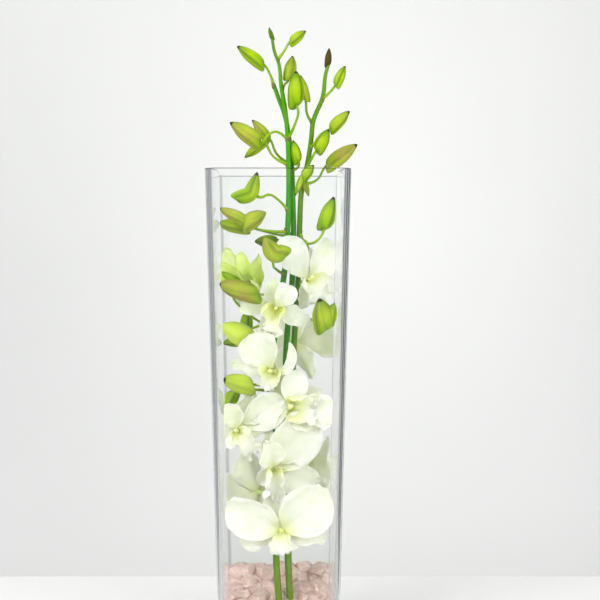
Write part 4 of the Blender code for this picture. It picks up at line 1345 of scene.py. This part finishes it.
def make_scale(name, stem, height, toward):
    """A scale that clasps the stem below a stalk and points up along it."""
    middle = stem_point(stem, height)
    side = Vector((toward.x, toward.y, 0)).normalized()
    root = middle + side * (thickness_at(height) / 2 - 0.2) - Vector((0, 0, 2))
    y = (Vector((0, 0, 1)) + side * 0.22).normalized()
    x = y.cross(-side).normalized()
    return make_petal(name, axes_at(x, y, x.cross(y), root * MM), SCALE_LOOK, scale_material)


# %% Stems with all that they carry


def flower_stalk(name, look):
    """A stalk from its stem to the end of its flower's neck."""
    stem, height = look["stalk"]
    place = facing(look)
    start = stem_point(stem, height)
    end = (place @ Vector((0, 0, -9.3 * MM))) / MM
    back = (end - Vector(look["at"])).normalized()
    bend = end + back * (end - start).length * 0.35
    middle = [start.lerp(bend, share).lerp(bend.lerp(end, share), share) for share in (0.3, 0.55, 0.8)]
    return make_stalk(name + "_stalk", [start, *middle, end], 0.5)


def dress_stem(stem):
    pieces = [make_stem(stem)]
    for number, (way, base, tip, thickness, tint, *extra) in enumerate(BUDS[stem]):
        base, tip, extra = Vector(base), Vector(tip), extra[0] if extra else {}
        name = f"bud_{number}"
        down = (stem_point(stem, base.z) - base).normalized() * 0.5 - Vector((0, 0, 1))
        pieces.append(make_bud(name, base, tip, thickness, tint, down, **extra))
        if way:
            way = [stem_point(stem, way[0][2]), *(Vector(point) for point in way[1:])]
            foot = Vector(extra.get("foot", base))
            inside = base.lerp(tip, 0.0 if "heel" in extra else 0.12)
            end = foot.lerp(inside, 0.4) if "foot" in extra else inside
            pieces.append(make_stalk(name + "_stalk", [*way, foot, end]))
            pieces.append(make_scale(name + "_scale", stem, way[0].z, way[1] - way[0]))
    for name, look in BLOOMS.items():
        if look["stalk"][0] == stem:
            pieces.append(flower_stalk(name, look))
    stand_for(fuse(stem + "_growth", pieces), stem)


for stem in STEMS:
    dress_stem(stem)
for pattern in (bud_pattern, column_pattern):
    bpy.data.objects.remove(pattern)

# %% [markdown]
# ## Table, wall and light
#
# The photograph is bright and soft: a pale table that ends just behind the vase, a
# white wall that glows a little, daylight from the upper left and no hard shadow.
# What draws the grey streaks in the glass is the room round the camera: it has dark
# and pale bands from side to side, and is dark behind the camera. A soft light from
# the front fills the shadows, and the glass doesn't mirror it.

# %% Table and wall


def stage_finish(name, first, second, scale):
    finish = Finish(name, Roughness=0.7)
    tone = finish.spread(finish.noise(finish.place(), scale), 0.3, 0.7)
    finish.colour(finish.mix(tone, first, second))
    finish.relief(tone, 0.05, MM)
    return finish


def wall_finish():
    """White paint with painted light: it glows most behind the vase, fades toward the
    sides, and glows more near the table than higher up, as the daylight there is weaker."""
    finish = stage_finish("wall_white", (0.77, 0.78, 0.765), (0.79, 0.8, 0.785), 3)
    middle = finish.place(scale=(1, 0, 0.6), shift=(-0.1, 0, -0.06))
    length = finish.node("ShaderNodeVectorMath", operation="LENGTH")
    finish.feed(length.inputs[0], middle)
    low = finish.spread(finish.split(finish.place(), 2), 0.24, -0.22, 0.03, 0.14)
    glow = finish.spread(length.outputs["Value"], 0.65, 0, low, 0.19)
    glow.node.interpolation_type = "SMOOTHSTEP"
    # Painted light: the wall's own emission stands in for daylight falling on it.
    finish.feed(finish.shader.inputs["Emission Strength"], glow)
    finish.feed(finish.shader.inputs["Emission Color"], (1, 1, 0.98))
    return finish.material


def make_table():
    bpy.ops.mesh.primitive_cube_add(size=1, location=(0, -0.41, -0.015))
    table = named("table")
    table.scale = (2.4, 1.17, 0.03)
    apply_all(table)
    soft = table.modifiers.new("edge", "BEVEL")
    soft.width = 2 * MM
    soft.segments = 2
    apply_all(table)
    finish = stage_finish("table_white", (0.84, 0.84, 0.82), (0.87, 0.87, 0.85), 6)
    table.data.materials.append(finish.material)
    return table


def make_wall():
    bpy.ops.mesh.primitive_plane_add(size=1, location=(0, 1.1, 0.5), rotation=(math.radians(90), 0, 0))
    wall = named("wall")
    wall.scale = (1.5, 2.6, 1)
    apply_all(wall)
    wall.data.materials.append(wall_finish())
    return wall


make_table()
make_wall()

# %% Light
# How bright the room is from the far left, 0, over the middle, 0.5, to the far right, 1
ROOM_BANDS = (
    (0, 0.5), (0.03, 0.42), (0.06, 0.75), (0.09, 0.7), (0.115, 0.33), (0.15, 0.5), (0.25, 0.6), (0.5, 0.6),
    (0.75, 0.55), (0.79, 0.2), (0.83, 0.15), (0.87, 0.26), (0.91, 0.2), (0.935, 0.75), (0.965, 0.7),
    (0.985, 0.2), (1, 0.3),
)
BEHIND_CAMERA, BELOW, SEEN = (0.2, 0.2, 0.2), (0.5, 0.5, 0.5), (0.8, 0.81, 0.8)
BLUISH = 1.03


def add_light(name, place, target, size, power):
    bpy.ops.object.light_add(type="AREA", location=place)
    lamp = bpy.context.object
    lamp.name = name
    lamp.data.size = size
    lamp.data.energy = power
    lamp.rotation_euler = (Vector(target) - Vector(place)).to_track_quat("-Z", "Y").to_euler()
    return lamp


def light_the_room():
    """The far room as the glass mirrors it: bands from side to side, dark behind the
    camera and grey below. The camera itself sees the same pale grey all round."""
    world = bpy.data.worlds.new("room")
    bpy.context.scene.world = world
    world.use_nodes = True
    room = Nodes(world.node_tree)
    across, away, up = (room.split(room.place("Generated"), axis) for axis in range(3))
    bands = ((place, (grey, grey, grey * BLUISH)) for place, grey in ROOM_BANDS)
    mirrored = room.ramp(room.spread(across, -1, 1), *bands)
    mirrored = room.over(mirrored, BEHIND_CAMERA, away, -0.7, -0.9)
    mirrored = room.over(mirrored, BELOW, up, -0.3, -0.45)
    by_camera = room.node("ShaderNodeLightPath").outputs["Is Camera Ray"]
    room.feed(room.tree.nodes["Background"].inputs["Color"], room.mix(by_camera, mirrored, SEEN))


light_the_room()
FLOWERS = (0, 0, 0.25)
add_light("window", (-1.1, -1.2, 1.1), FLOWERS, 1, 22)
add_light("fill", (1.2, -1.1, 0.7), FLOWERS, 1, 14)
front = add_light("front", (0.2, -1.5, 0.4), FLOWERS, 1.4, 6)
front.visible_glossy = False
add_light("ceiling", (0, -0.3, 1.7), (0, 0, 0), 1.2, 5)
bpy.context.scene.view_settings.view_transform = "Standard"
print("the room has", len(ROOM_BANDS), "bands, the camera sees it as", SEEN)
